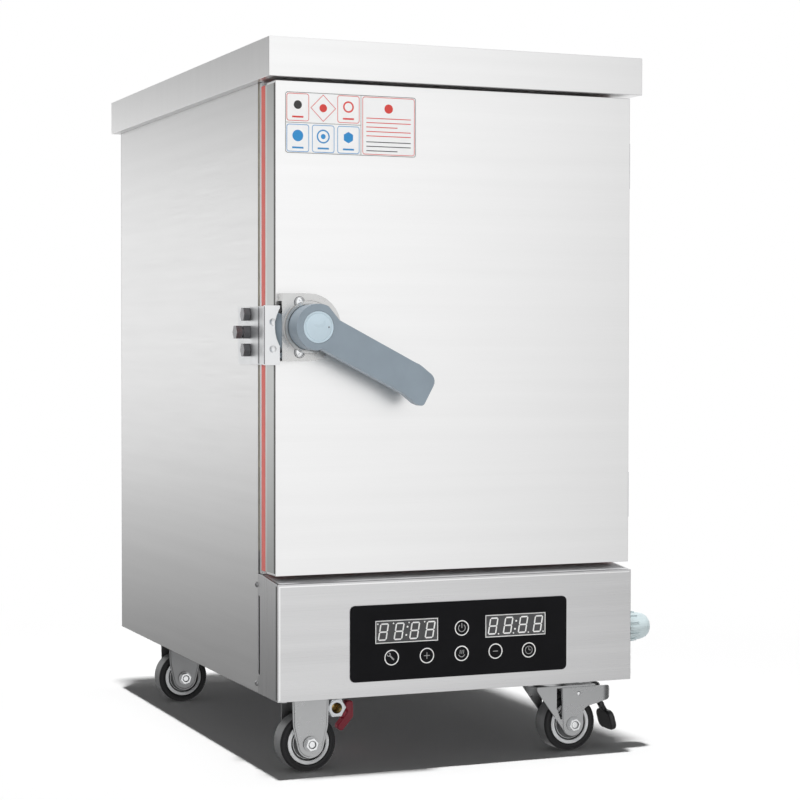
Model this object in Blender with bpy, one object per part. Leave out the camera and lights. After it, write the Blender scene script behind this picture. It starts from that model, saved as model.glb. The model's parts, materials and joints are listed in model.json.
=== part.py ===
"""Rice steamer cabinet: an insulated steam cupboard on four casters.

Metres, +Z up.  The front faces -Y.  The origin is on the floor, under the middle of the
whole object's box.  Sizes below are given in a working frame with X = 0 in the middle of
the body, Y = 0 on the door's front face and Z = 0 on the floor; one empty, the cabinet's
own, then carries everything to the origin.
"""
import math

import bmesh
import bpy
from mathutils import Matrix, Vector

# Gaps and sheet
GAP = 0.0003
CLEAR = 0.0010
SHEET = 0.0012
OVERRUN = 0.0200

# Body
BODY_WIDTH = 0.5000
PANEL_FRONT = 0.0690
BODY_REAR = 0.7530
CASTER_HEIGHT = 0.1000
FASCIA_HEIGHT = 0.1476
DOOR_LOW_GAP = 0.0099
DOOR_HEIGHT = 0.6199
DOOR_TOP_GAP = 0.0036
CAP_HEIGHT = 0.0490
CAP_OVERHANG = 0.0122
CAP_LEAD = 0.0112

# Front frame, steam tank and its lagging
FRAME_INSET = 0.0015
FRAME_SIDE = 0.0440
FRAME_HEAD = 0.0274
OPENING_RISE = 0.0374
LAGGING_REAR = 0.0630
LAGGING_BACK = 0.0030
BAY_DEPTH = 0.1500

# Tray racks
RACK_MARGIN = 0.0080
RACK_FRONT_GAP = 0.0200
RACK_REAR_GAP = 0.0310
LEDGE_WIDTH = 0.0180
LEDGE_COUNT = 6
LEDGE_FIRST = 0.0600
LEDGE_LAST = 0.0640

# Boiler pan, deck and heater
PAN_SIDE_GAP = 0.0360
PAN_REAR_GAP = 0.0300
PAN_FRONT = 0.1900
PAN_HEIGHT = 0.1200
PAN_RIM = 0.0120
DECK_FILL_GAP = 0.0450
DECK_THICK = 0.0015
DECK_HOLE_RADIUS = 0.0120
DECK_HOLE_ROWS = 5
DECK_HOLE_COLUMNS = 4
HEATER_RADIUS = 0.0060
HEATER_SPREAD = 0.1000
HEATER_RISE = 0.0350
HEATER_TAIL = 0.0550
HEATER_REAR_GAP = 0.0600
HEATER_BEND_SHARE = 0.9

# Door
DOOR_EDGE = 0.0330
GASKET_THICK = 0.0207
GASKET_WIDTH = 0.0220
GASKET_INSET = 0.0020
GASKET_CHAMFER = 0.0030
LINER_THICK = 0.0012
LINER_DEPTH = 0.0050

# Hinges
HINGE_OUT = 0.0080
HINGE_BACK = 0.0510
HINGE_LEAF = 0.0025
HINGE_BARREL = 0.0060
HINGE_PIN = 0.0030
HINGE_HALF_HEIGHT = 0.0300
HINGE_PIN_SHORT = 0.0040
HINGE_BODY_REACH = 0.0670
HINGE_BODY_START = 0.0130
HINGE_DOOR_REACH = 0.0470
HINGE_FROM_END = 0.0900

# Latch housing, cam and handle
LATCH_ACROSS = 0.0395
LATCH_RISE = 0.3121
HOUSING_RADIUS = 0.0423
HOUSING_LEFT = 0.0360
HOUSING_DEPTH = 0.0150
HOUSING_WALL = 0.0015
HOUSING_SLOT_SHARE = 0.8
CAM_THICK = 0.0100
CAM_BACK = 0.0035
CAM_HUB_RADIUS = 0.0140
CAM_NOSE_RADIUS = 0.0455
CAM_LOBE_RADIUS = 0.0520
CAM_NOSE_START = 156.0
CAM_LOBE_START = 221.0
CAM_LOBE_END = 230.0
SHAFT_RADIUS = 0.0070
HUB_RADIUS = 0.0289
HUB_DEPTH = 0.0340
HUB_CHAMFER = 0.0020
BOSS_RADIUS = 0.0198
BOSS_RECESS = 0.0020
BOSS_DOME = 0.0008
BOSS_FLAT_SHARE = 0.6
LEVER_ANGLE = -27.0
LEVER_LENGTH = 0.1710
LEVER_UP = 0.0205
LEVER_DOWN = 0.0222
LEVER_HOOK = 0.0260
LEVER_THICK = 0.0150
LEVER_ROUND = 0.0030
LEVER_TIP_UP = 0.0155
LEVER_SLOPE_START = 0.0140
LEVER_HOOK_START = 0.0290
LEVER_HOOK_FULL = 0.0070

# Strike on the left side
STRIKE_PLATE = 0.0025
STRIKE_DROP = 0.0471
STRIKE_HEIGHT = 0.0740
STRIKE_REAR = 0.1430
STRIKE_WEB_START = 0.0430
STRIKE_FRONT_OUT = 0.0217
STRIKE_FRONT = 0.0195
STRIKE_SIDE_CLEAR = 0.0008
STRIKE_RECESS = 0.0468
BOLT_BACK = 0.0970
BOLT_PITCH = 0.0230
BOLT_DROP = 0.0056
BOLT_RADIUS = 0.0050
BOLT_HEAD = 0.0095
BOLT_HEAD_HIGH = 0.0090
BOLT_NECK = 0.0020
BOLT_NECK_RADIUS = 0.0070
BOLT_LOCKNUT = 0.0080

# Control box
FASCIA_LEAD = 0.0081
LEDGE_RISE = 0.0065
FRAME_THICK = 0.0144
OVERLAY_MARGIN = 0.0969
OVERLAY_HEIGHT = 0.0975
OVERLAY_RISE = 0.0679
OVERLAY_THICK = 0.0012
OVERLAY_CORNER = 0.0065
DISPLAY_LEFT_IN = 0.03395
DISPLAY_RIGHT_IN = 0.03085
DISPLAY_APART = 0.0668
DISPLAY_HEIGHT = 0.0297
DISPLAY_DEPTH = 0.0100
DISPLAY_RISE = 0.0817
BOARD_WIDTH = 0.2800
BOARD_HEIGHT = 0.0800
BOARD_THICK = 0.0016

# Cable gland on the right side of the control box
GLAND_BACK = 0.0300
GLAND_RISE = 0.0655
GLAND_BORE = 0.0060
GLAND_THREAD = 0.0140
GLAND_COLLAR = 0.0200
GLAND_COLLAR_LONG = 0.0090
GLAND_LOCKNUT = 0.0180
GLAND_LOCKNUT_LONG = 0.0050
GLAND_INSIDE = 0.0120
GLAND_NOSE = 0.0150
GLAND_NUT_RADIUS = 0.0203
GLAND_REACH = 0.0450
GLAND_TIP_RADIUS = 0.0095

# Drain
DRAIN_ACROSS = 0.1320
DRAIN_BACK = 0.2300
DRAIN_RISE = 0.0620
DRAIN_PIPE = 0.0080
DRAIN_BORE = 0.0060
DRAIN_BEND = 0.0250
VALVE_REAR = 0.1830
VALVE_FRONT = 0.1320
VALVE_END = 0.0110
VALVE_BALL = 0.0135
VALVE_SOCKET = 0.0070
VALVE_SOCKET_DEEP = 0.0120
VALVE_STEM = 0.0045
VALVE_STEM_REACH = 0.0200
VALVE_LEVER_THICK = 0.0050
VALVE_LEVER_HUB = 0.0095
VALVE_TILT = 30
VALVE_LEVER_LONG = 0.0300
VALVE_LEVER_END = 0.0065

# Steam vent at the back
VENT_DROP = 0.0300
VENT_RADIUS = 0.0120
VENT_BORE = 0.0095
VENT_FLANGE = 0.0240
VENT_FLANGE_THICK = 0.0020
VENT_REACH = 0.0100

# Casters
WHEEL_RADIUS = 0.0375
TYRE_WIDTH = 0.0330
TYRE_CROWN = 0.0030
RIM_RADIUS = 0.0260
RIM_WIDTH = 0.0300
RIM_LIP = 0.0030
WEB_WIDTH = 0.0200
NAVE_RADIUS = 0.0110
FORK_INSIDE = 0.0420
FORK_PLATE = 0.0025
AXLE_RADIUS = 0.0050
AXLE_HEAD = 0.0085
AXLE_HEAD_HIGH = 0.0060
MOUNT_LONG = 0.0950
MOUNT_WIDE = 0.0670
MOUNT_THICK = 0.0025
CHEEK_TOP = 0.0250
CHEEK_END = 0.0160
LEFT_CASTER_IN = 0.0575
RIGHT_CASTER_IN = 0.0955
FRONT_CASTER_Y = 0.0525
REAR_CASTER_IN = 0.1340
TRAIL = 0.0280
RACE_RADIUS = 0.0250
RACE_HIGH = 0.0070
KINGPIN = 0.0060
KINGPIN_HEAD = 0.0095
KINGPIN_HEAD_HIGH = 0.0025
BRAKE_ARM = 0.0600
BRAKE_ARM_HIGH = 0.0290
BRAKE_ARM_END_HIGH = 0.0215
PEDAL_PIVOT = 0.0460
PEDAL_PIVOT_DROP = 0.0179
PEDAL_RADIUS = 0.0050
PEDAL_DROP = 0.0400
PEDAL_OUT = 0.0205
PEDAL_BLADE = 0.0070

SIDES_FINE = 40
SIDES = 24
SIDES_SMALL = 12

# Places worked out from the sizes
HALF = BODY_WIDTH / 2
BODY_LOW = CASTER_HEIGHT
FASCIA_TOP = BODY_LOW + FASCIA_HEIGHT
LEDGE_TOP = FASCIA_TOP + LEDGE_RISE
DOOR_LOW = FASCIA_TOP + DOOR_LOW_GAP
DOOR_TOP = DOOR_LOW + DOOR_HEIGHT
CAP_LOW = DOOR_TOP + DOOR_TOP_GAP
CAP_TOP = CAP_LOW + CAP_HEIGHT
PANEL_TOP = CAP_TOP - SHEET - GAP
FRAME_REAR = PANEL_FRONT - GAP
FRAME_FRONT = FRAME_REAR - FRAME_THICK
OPENING_LOW = FASCIA_TOP + OPENING_RISE
OPENING_TOP = DOOR_TOP - FRAME_HEAD
OPENING_HALF = HALF - FRAME_SIDE
TANK_FRONT = PANEL_FRONT
TANK_REAR = BODY_REAR - LAGGING_REAR
BASE_TOP = BODY_LOW + 2 * SHEET
PAN_HALF = OPENING_HALF - PAN_SIDE_GAP
PAN_REAR = TANK_REAR - PAN_REAR_GAP
RIM_LOW = OPENING_LOW + GAP
RIM_TOP = RIM_LOW + SHEET
PAN_LOW = RIM_TOP - PAN_HEIGHT
HEATER_Z = PAN_LOW + HEATER_RISE
LATCH_X = -HALF + LATCH_ACROSS
LATCH_Z = DOOR_LOW + LATCH_RISE
HOUSING_FRONT = -GAP - HOUSING_DEPTH
HUB_BACK = HOUSING_FRONT - GAP
HUB_FRONT = HUB_BACK - HUB_DEPTH
STRIKE_LOW = LATCH_Z - STRIKE_DROP
HINGE_X = HALF + HINGE_OUT
GLAND_Z = BODY_LOW + GLAND_RISE
DISPLAY_Z = BODY_LOW + DISPLAY_RISE
OVERLAY_HALF = HALF - OVERLAY_MARGIN
OVERLAY_FRONT = -FASCIA_LEAD - GAP - OVERLAY_THICK
DISPLAY_WIDTH = OVERLAY_HALF - (DISPLAY_LEFT_IN + DISPLAY_APART + DISPLAY_RIGHT_IN) / 2
TEMPERATURE_X = DISPLAY_LEFT_IN + DISPLAY_WIDTH / 2 - OVERLAY_HALF
TIME_X = OVERLAY_HALF - DISPLAY_RIGHT_IN - DISPLAY_WIDTH / 2
DRAIN_X = DRAIN_ACROSS - HALF
VENT_Z = OPENING_TOP - VENT_DROP
LEFT_CASTER_X = LEFT_CASTER_IN - HALF
RIGHT_CASTER_X = HALF - RIGHT_CASTER_IN
REAR_CASTER_Y = BODY_REAR - REAR_CASTER_IN
MOUNT_TOP = BODY_LOW - GAP
MOUNT_LOW = MOUNT_TOP - MOUNT_THICK
FORK_TOP = MOUNT_LOW - RACE_HIGH - GAP
FORK_HALF = FORK_INSIDE / 2
AXLE_REACH = FORK_HALF + FORK_PLATE + GAP
BOLT_Z = LATCH_Z - BOLT_DROP
LEFT_REACH = HALF + max(CAP_OVERHANG, STRIKE_FRONT_OUT,
                        GAP + STRIKE_PLATE + GAP + BOLT_HEAD_HIGH + BOLT_NECK + BOLT_LOCKNUT)
RIGHT_REACH = HALF + max(CAP_OVERHANG, GLAND_REACH, HINGE_OUT + HINGE_BARREL)
FRONT_REACH = BOSS_DOME - HUB_FRONT
REAR_REACH = BODY_REAR + max(CAP_OVERHANG, VENT_FLANGE_THICK + GAP + VENT_REACH)
CENTRE = Vector(((RIGHT_REACH - LEFT_REACH) / 2, (REAR_REACH - FRONT_REACH) / 2, 0.0))


FINISHES = {
    "brushed_steel": ((0.62, 0.62, 0.63), 0.38, 0.9),
    "zinc_steel": ((0.58, 0.59, 0.60), 0.32, 0.9),
    "chrome": ((0.80, 0.81, 0.82), 0.15, 1.0),
    "black_overlay": ((0.012, 0.012, 0.013), 0.25, 0.0),
    "display": ((0.10, 0.10, 0.105), 0.30, 0.0),
    "circuit_board": ((0.05, 0.20, 0.10), 0.50, 0.0),
    "grey_nylon": ((0.26, 0.30, 0.34), 0.42, 0.0),
    "pale_cap": ((0.55, 0.66, 0.72), 0.35, 0.0),
    "pale_nylon": ((0.58, 0.66, 0.70), 0.45, 0.0),
    "silicone": ((0.62, 0.13, 0.08), 0.55, 0.0),
    "foam": ((0.78, 0.70, 0.48), 0.90, 0.0),
    "red_vinyl": ((0.45, 0.03, 0.03), 0.45, 0.0),
    "black_rubber": ((0.02, 0.02, 0.021), 0.60, 0.0),
    "grey_rim": ((0.30, 0.31, 0.32), 0.45, 0.0),
    "black_nylon": ((0.02, 0.02, 0.021), 0.45, 0.0),
}


def material(finish):
    """Principled material of a finish, made once."""
    found = bpy.data.materials.get(finish)
    if found:
        return found
    colour, roughness, metallic = FINISHES[finish]
    made = bpy.data.materials.new(finish)
    made.use_nodes = True
    shader = made.node_tree.nodes["Principled BSDF"]
    shader.inputs["Base Color"].default_value = (*colour, 1.0)
    shader.inputs["Roughness"].default_value = roughness
    shader.inputs["Metallic"].default_value = metallic
    return made


def empty(name, place, parent=None):
    """An empty at a place of the working frame, for pieces to hang on."""
    made = bpy.data.objects.new(name, None)
    bpy.context.scene.collection.objects.link(made)
    made["place"] = tuple(place)
    base = Vector(parent["place"]) if parent else Vector()
    made.location = Vector(place) - base
    made.parent = parent
    return made


def add(name, shape, finish, parent, smooth=False):
    """Makes a bmesh, drawn in the working frame, an object whose origin is its parent's."""
    bmesh.ops.remove_doubles(shape, verts=shape.verts, dist=GAP / 1000)
    bmesh.ops.recalc_face_normals(shape, faces=shape.faces)
    place = Vector(parent["place"])
    bmesh.ops.translate(shape, verts=shape.verts, vec=-place)
    mesh = bpy.data.meshes.new(name)
    shape.to_mesh(mesh)
    shape.free()
    if smooth:
        mesh.shade_smooth()
        mesh.set_sharp_from_angle(angle=math.radians(35))
    made = bpy.data.objects.new(name, mesh)
    bpy.context.scene.collection.objects.link(made)
    made.parent = parent
    if finish:
        mesh.materials.append(material(finish))
    return made


def tool(name, shape, parent):
    """A shape that only cuts or joins others, left out of the model."""
    made = add(name, shape, None, parent)
    made.hide_render = True
    made.display_type = "WIRE"
    return made


def combine(target, other, operation="DIFFERENCE"):
    """Boolean of a target with a tool."""
    change = target.modifiers.new(other.name, "BOOLEAN")
    change.operation = operation
    change.object = other


def block(low, high):
    """A box between two corners."""
    shape = bmesh.new()
    size = [b - a for a, b in zip(low, high)]
    middle = [(a + b) / 2 for a, b in zip(low, high)]
    bmesh.ops.create_cube(shape, size=1, matrix=Matrix.Translation(middle) @ Matrix.Diagonal((*size, 1)))
    return shape


def at_level(axis, first, second, level):
    """Point with the level on one axis, and the other two coordinates in X, Y, Z order."""
    values = [first, second]
    values.insert("XYZ".index(axis), level)
    return Vector(values)


def skin(loops, closed=False):
    """One shell through loops of points, with its ends filled, or closed into a ring."""
    shape = bmesh.new()
    rings = []
    for loop in loops:
        points = [shape.verts.new(point) for point in loop]
        edges = [shape.edges.new((points[i - 1], points[i])) for i in range(len(points))]
        rings.append((points, edges))
    pairs = list(zip(rings, rings[1:]))
    if closed:
        pairs.append((rings[-1], rings[0]))
    else:
        shape.faces.new(rings[0][0])
        shape.faces.new(rings[-1][0])
    for one, other in pairs:
        count = len(one[0])
        for i in range(count):
            shape.faces.new((one[0][i - 1], one[0][i], other[0][i], other[0][i - 1]))
    return shape


def rectangle(axis, low, high, level):
    """Corners of a rectangle square to an axis."""
    corners = ((low[0], low[1]), (high[0], low[1]), (high[0], high[1]), (low[0], high[1]))
    return [at_level(axis, a, b, level) for a, b in corners]


def prism(axis, outline, low, high):
    """An outline, square to an axis, carried from one level to another."""
    return skin([[at_level(axis, a, b, level) for a, b in outline] for level in (low, high)])


def arc(centre, radius, start, end, count):
    """Points of an arc, with angles in degrees."""
    turn = [math.radians(start + (end - start) * i / count) for i in range(count + 1)]
    return [(centre[0] + radius * math.cos(a), centre[1] + radius * math.sin(a)) for a in turn]


def rounded(low, high, radius, count=4):
    """Outline of a rectangle with round corners."""
    points = []
    centres = ((high[0] - radius, high[1] - radius), (low[0] + radius, high[1] - radius),
               (low[0] + radius, low[1] + radius), (high[0] - radius, low[1] + radius))
    for quarter, centre in enumerate(centres):
        points += arc(centre, radius, 90 * quarter, 90 * quarter + 90, count)
    return points


def circle(axis, centre, radius, level, sides=SIDES):
    """Points of a circle square to an axis, its first point lowest where the axis lies level."""
    turn = [2 * math.pi * i / sides - math.pi / 2 for i in range(sides)]
    return [at_level(axis, centre[0] + radius * math.cos(a), centre[1] + radius * math.sin(a), level)
            for a in turn]


def hexagon(axis, centre, radius, level):
    """Twelve points round a hexagon: its corners and the middles of its sides, begun as a circle is."""
    points = []
    for i in range(12):
        reach = radius * (1 if i % 2 else math.cos(math.pi / 6))
        angle = math.pi * i / 6 - math.pi / 2
        points.append(at_level(axis, centre[0] + reach * math.cos(angle),
                               centre[1] + reach * math.sin(angle), level))
    return points


def turned(axis, centre, profile, sides=SIDES, closed=False):
    """A turned shape: its profile is pairs of radius and level, and a ring's profile is closed."""
    return skin([circle(axis, centre, radius, level, sides) for radius, level in profile], closed)


def rod(axis, centre, radius, low, high, sides=SIDES):
    """A plain round bar along an axis."""
    return turned(axis, centre, ((radius, low), (radius, high)), sides)


def filleted(points, radius, count=6):
    """A path with its inner corners rounded, from its corner points."""
    path = [Vector(points[0])]
    for before, corner, after in zip(points, points[1:], points[2:]):
        corner = Vector(corner)
        inward = (Vector(before) - corner).normalized()
        onward = (Vector(after) - corner).normalized()
        half = inward.angle(onward) / 2
        reach = radius / math.tan(half)
        centre = corner + (inward + onward).normalized() * radius / math.sin(half)
        start = corner + inward * reach - centre
        end = corner + onward * reach - centre
        turn = start.angle(end)
        for i in range(count + 1):
            share = i / count
            path.append(centre + (start * math.sin((1 - share) * turn) + end * math.sin(share * turn))
                        / math.sin(turn))
    path.append(Vector(points[-1]))
    return path


def tube_loops(path, radius, normal, sides=SIDES_SMALL):
    """Circles along a path that lies in a plane with the given normal."""
    loops = []
    for i, point in enumerate(path):
        along = (path[min(i + 1, len(path) - 1)] - path[max(i - 1, 0)]).normalized()
        across = along.cross(normal).normalized()
        loops.append([point + radius * (math.cos(a) * across + math.sin(a) * normal)
                      for a in (2 * math.pi * k / sides for k in range(sides))])
    return loops


def side_panels(cabinet):
    """The two outer side sheets; the left one is drilled for the strike's bolts."""
    rear = BODY_REAR - SHEET - GAP
    panels = []
    for name, outer in (("left_side_panel", -1), ("right_side_panel", 1)):
        near, far = sorted((outer * HALF, outer * (HALF - SHEET)))
        panels.append(add(name, block((near, PANEL_FRONT, BODY_LOW), (far, rear, PANEL_TOP)),
                          "brushed_steel", cabinet))
    for z in bolt_heights():
        hole = rod("X", (BOLT_BACK, z), BOLT_RADIUS + GAP, -HALF - OVERRUN, -HALF + OVERRUN, SIDES_SMALL)
        combine(panels[0], tool("cut_panel_bolt", hole, cabinet))


def back_panel(cabinet):
    """The outer back sheet, drilled for the vent."""
    sheet = add("back_panel", block((-HALF, BODY_REAR - SHEET, BODY_LOW), (HALF, BODY_REAR, PANEL_TOP)),
                "brushed_steel", cabinet)
    combine(sheet, vent_drill(cabinet))


def vent_drill(cabinet):
    """A drill that clears the vent tube through the tank's back, the lagging and the back sheet."""
    drill = rod("Y", (0, VENT_Z), VENT_RADIUS + GAP, TANK_REAR - OVERRUN, BODY_REAR + OVERRUN)
    return tool("cut_vent", drill, cabinet)


def top_cap(cabinet):
    """The skirted lid, closed below by a soffit that fits round the body."""
    low = (-HALF - CAP_OVERHANG, -CAP_LEAD)
    high = (HALF + CAP_OVERHANG, BODY_REAR + CAP_OVERHANG)
    inner_low = [v + SHEET for v in low]
    inner_high = [v - SHEET for v in high]
    fit_low = (-HALF - GAP, FRAME_FRONT - GAP)
    fit_high = (HALF + GAP, BODY_REAR + GAP)
    shape = skin([rectangle("Z", low, high, CAP_TOP), rectangle("Z", low, high, CAP_LOW),
                  rectangle("Z", fit_low, fit_high, CAP_LOW),
                  rectangle("Z", fit_low, fit_high, CAP_LOW + SHEET),
                  rectangle("Z", inner_low, inner_high, CAP_LOW + SHEET),
                  rectangle("Z", inner_low, inner_high, CAP_TOP - SHEET)])
    add("top_cap", shape, "brushed_steel", cabinet)


def base_plate(cabinet):
    """The bottom sheet, drilled for the drain pipe."""
    half = HALF - SHEET - GAP
    plate = add("base_plate", block((-half, -FASCIA_LEAD + SHEET + GAP, BODY_LOW),
                                    (half, BODY_REAR - SHEET - GAP, BASE_TOP)), "brushed_steel", cabinet)
    combine(plate, drain_drill(cabinet))


def drain_drill(cabinet):
    """A drill that clears the drain pipe from the boiler pan down through the base."""
    drill = rod("Z", (DRAIN_X, DRAIN_BACK), DRAIN_PIPE + GAP, BODY_LOW - OVERRUN / 2, PAN_LOW + OVERRUN)
    return tool("cut_drain", drill, cabinet)


def front_frame(cabinet):
    """The frame round the mouth that the gasket seats on."""
    low = (-HALF + FRAME_INSET, LEDGE_TOP + GAP)
    high = (HALF - FRAME_INSET, PANEL_TOP)
    inner_low = (-OPENING_HALF, OPENING_LOW)
    inner_high = (OPENING_HALF, OPENING_TOP)
    shape = skin([rectangle("Y", low, high, FRAME_FRONT), rectangle("Y", low, high, FRAME_REAR),
                  rectangle("Y", inner_low, inner_high, FRAME_REAR),
                  rectangle("Y", inner_low, inner_high, FRAME_FRONT)], closed=True)
    add("front_frame", shape, "brushed_steel", cabinet)


def inner_tank(cabinet):
    """The steam chamber's liner, open at the front and over the boiler pan."""
    low = (-OPENING_HALF, OPENING_LOW)
    high = (OPENING_HALF, OPENING_TOP)
    outer_low = [v - SHEET for v in low]
    outer_high = [v + SHEET for v in high]
    shape = skin([rectangle("Y", outer_low, outer_high, TANK_REAR),
                  rectangle("Y", outer_low, outer_high, TANK_FRONT),
                  rectangle("Y", low, high, TANK_FRONT),
                  rectangle("Y", low, high, TANK_REAR - SHEET)])
    tank = add("inner_tank", shape, "brushed_steel", cabinet)
    reach = PAN_HALF + CLEAR / 2
    mouth = block((-reach, PAN_FRONT - CLEAR / 2, OPENING_LOW - OVERRUN),
                  (reach, PAN_REAR + CLEAR / 2, OPENING_LOW + OVERRUN))
    combine(tank, tool("cut_tank_floor", mouth, cabinet))
    combine(tank, bpy.data.objects["cut_vent"])


def insulation_jacket(cabinet):
    """The lagging between the liner and the outer sheets, with a bay for the electrics."""
    half = HALF - SHEET - GAP
    front = PANEL_FRONT + GAP
    rear = BODY_REAR - SHEET - LAGGING_BACK
    jacket = add("insulation_jacket", block((-half, front, BASE_TOP + GAP), (half, rear, PANEL_TOP - GAP)),
                 "foam", cabinet)
    reach = OPENING_HALF + SHEET + GAP
    tank = block((-reach, front - OVERRUN, OPENING_LOW - SHEET - GAP),
                 (reach, TANK_REAR + GAP, OPENING_TOP + SHEET + GAP))
    combine(jacket, tool("cut_lagging_tank", tank, cabinet))
    reach = PAN_HALF + GAP
    well = block((-reach, PAN_FRONT - GAP, PAN_LOW - GAP), (reach, PAN_REAR + GAP, OPENING_LOW))
    combine(jacket, tool("cut_lagging_pan", well, cabinet))
    bay = block((-HALF, front - OVERRUN, BODY_LOW), (HALF, BAY_DEPTH, OPENING_LOW - SHEET - GAP))
    combine(jacket, tool("cut_lagging_bay", bay, cabinet))
    combine(jacket, bpy.data.objects["cut_vent"])
    combine(jacket, bpy.data.objects["cut_drain"])
    for drill in heater_drills(cabinet):
        combine(jacket, drill)


def tray_racks(cabinet):
    """Two racks of folded ledges, one on each side of the chamber."""
    wall = OPENING_HALF - GAP
    low = OPENING_LOW + RACK_MARGIN
    high = OPENING_TOP - RACK_MARGIN
    inner = wall - SHEET
    outline = [(wall, low), (wall, high), (inner, high)]
    pitch = (high - low - LEDGE_FIRST - LEDGE_LAST) / (LEDGE_COUNT - 1)
    for k in reversed(range(LEDGE_COUNT)):
        z = low + LEDGE_FIRST + k * pitch
        outline += [(inner, z + SHEET), (inner - LEDGE_WIDTH, z + SHEET), (inner - LEDGE_WIDTH, z), (inner, z)]
    outline.append((inner, low))
    front = TANK_FRONT + RACK_FRONT_GAP
    rear = TANK_REAR - RACK_REAR_GAP
    for name, side in (("tray_rack_left", -1), ("tray_rack_right", 1)):
        shape = prism("Y", [(side * x, z) for x, z in outline], front, rear)
        add(name, shape, "brushed_steel", cabinet)


def heater_drills(cabinet):
    """Two drills that clear the heater's legs."""
    names = ("cut_heater_left", "cut_heater_right")
    if names[0] not in bpy.data.objects:
        for name, side in zip(names, (-1, 1)):
            drill = rod("Y", (side * HEATER_SPREAD / 2, HEATER_Z), HEATER_RADIUS + GAP,
                        BAY_DEPTH - OVERRUN, PAN_FRONT + OVERRUN, SIDES_SMALL)
            tool(name, drill, cabinet)
    return [bpy.data.objects[name] for name in names]


def boiler_pan(cabinet):
    """The water pan that hangs in the tank's floor by its rim."""
    low, high = (-PAN_HALF, PAN_FRONT), (PAN_HALF, PAN_REAR)
    inner_low = [v + SHEET for v in low]
    inner_high = [v - SHEET for v in high]
    rim_low = [v - PAN_RIM for v in low]
    rim_high = [v + PAN_RIM for v in high]
    shape = skin([rectangle("Z", low, high, PAN_LOW), rectangle("Z", low, high, RIM_LOW),
                  rectangle("Z", rim_low, rim_high, RIM_LOW), rectangle("Z", rim_low, rim_high, RIM_TOP),
                  rectangle("Z", inner_low, inner_high, RIM_TOP),
                  rectangle("Z", inner_low, inner_high, PAN_LOW + SHEET)])
    pan = add("boiler_pan", shape, "brushed_steel", cabinet)
    combine(pan, tool("cut_pan_drain", rod("Z", (DRAIN_X, DRAIN_BACK), DRAIN_BORE, PAN_LOW - OVERRUN,
                                           PAN_LOW + OVERRUN, SIDES_SMALL), cabinet))
    for drill in heater_drills(cabinet):
        combine(pan, drill)


def deck_plate(cabinet):
    """The perforated cover of the boiler pan; it rests on the rim and leaves a filling gap in front."""
    half = PAN_HALF + PAN_RIM
    front = PAN_FRONT + DECK_FILL_GAP
    rear = PAN_REAR + PAN_RIM
    low = RIM_TOP + GAP
    deck = add("deck_plate", block((-half, front, low), (half, rear, low + DECK_THICK)),
               "brushed_steel", cabinet)
    holes = bmesh.new()
    for row in range(DECK_HOLE_ROWS):
        for column in range(DECK_HOLE_COLUMNS):
            x = -half + 2 * half * (column + 1) / (DECK_HOLE_COLUMNS + 1)
            y = front + (rear - front) * (row + 1) / (DECK_HOLE_ROWS + 1)
            bmesh.ops.create_cone(holes, cap_ends=True, segments=SIDES_SMALL, radius1=DECK_HOLE_RADIUS,
                                  radius2=DECK_HOLE_RADIUS, depth=OVERRUN,
                                  matrix=Matrix.Translation((x, y, low)))
    combine(deck, tool("cut_deck_holes", holes, cabinet))


def heating_element(cabinet):
    """The hairpin heater, its legs passing through the pan's front wall."""
    side = HEATER_SPREAD / 2
    start = PAN_FRONT - HEATER_TAIL
    end = PAN_REAR - HEATER_REAR_GAP
    corners = [(-side, start, HEATER_Z), (-side, end, HEATER_Z), (side, end, HEATER_Z), (side, start, HEATER_Z)]
    path = filleted(corners, side * HEATER_BEND_SHARE)
    shape = skin(tube_loops(path, HEATER_RADIUS, Vector((0, 0, 1))))
    add("heating_element", shape, "zinc_steel", cabinet, smooth=True)


def drain_pipe(cabinet):
    """The pipe from the boiler pan down through the base and forward to the valve."""
    corners = [(DRAIN_X, DRAIN_BACK, PAN_LOW - GAP), (DRAIN_X, DRAIN_BACK, DRAIN_RISE),
               (DRAIN_X, VALVE_REAR + GAP, DRAIN_RISE)]
    path = filleted(corners, DRAIN_BEND)
    normal = Vector((1, 0, 0))
    loops = tube_loops(path, DRAIN_PIPE, normal) + tube_loops(path, DRAIN_BORE, normal)[::-1]
    add("drain_pipe", skin(loops, closed=True), "chrome", cabinet, smooth=True)


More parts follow.
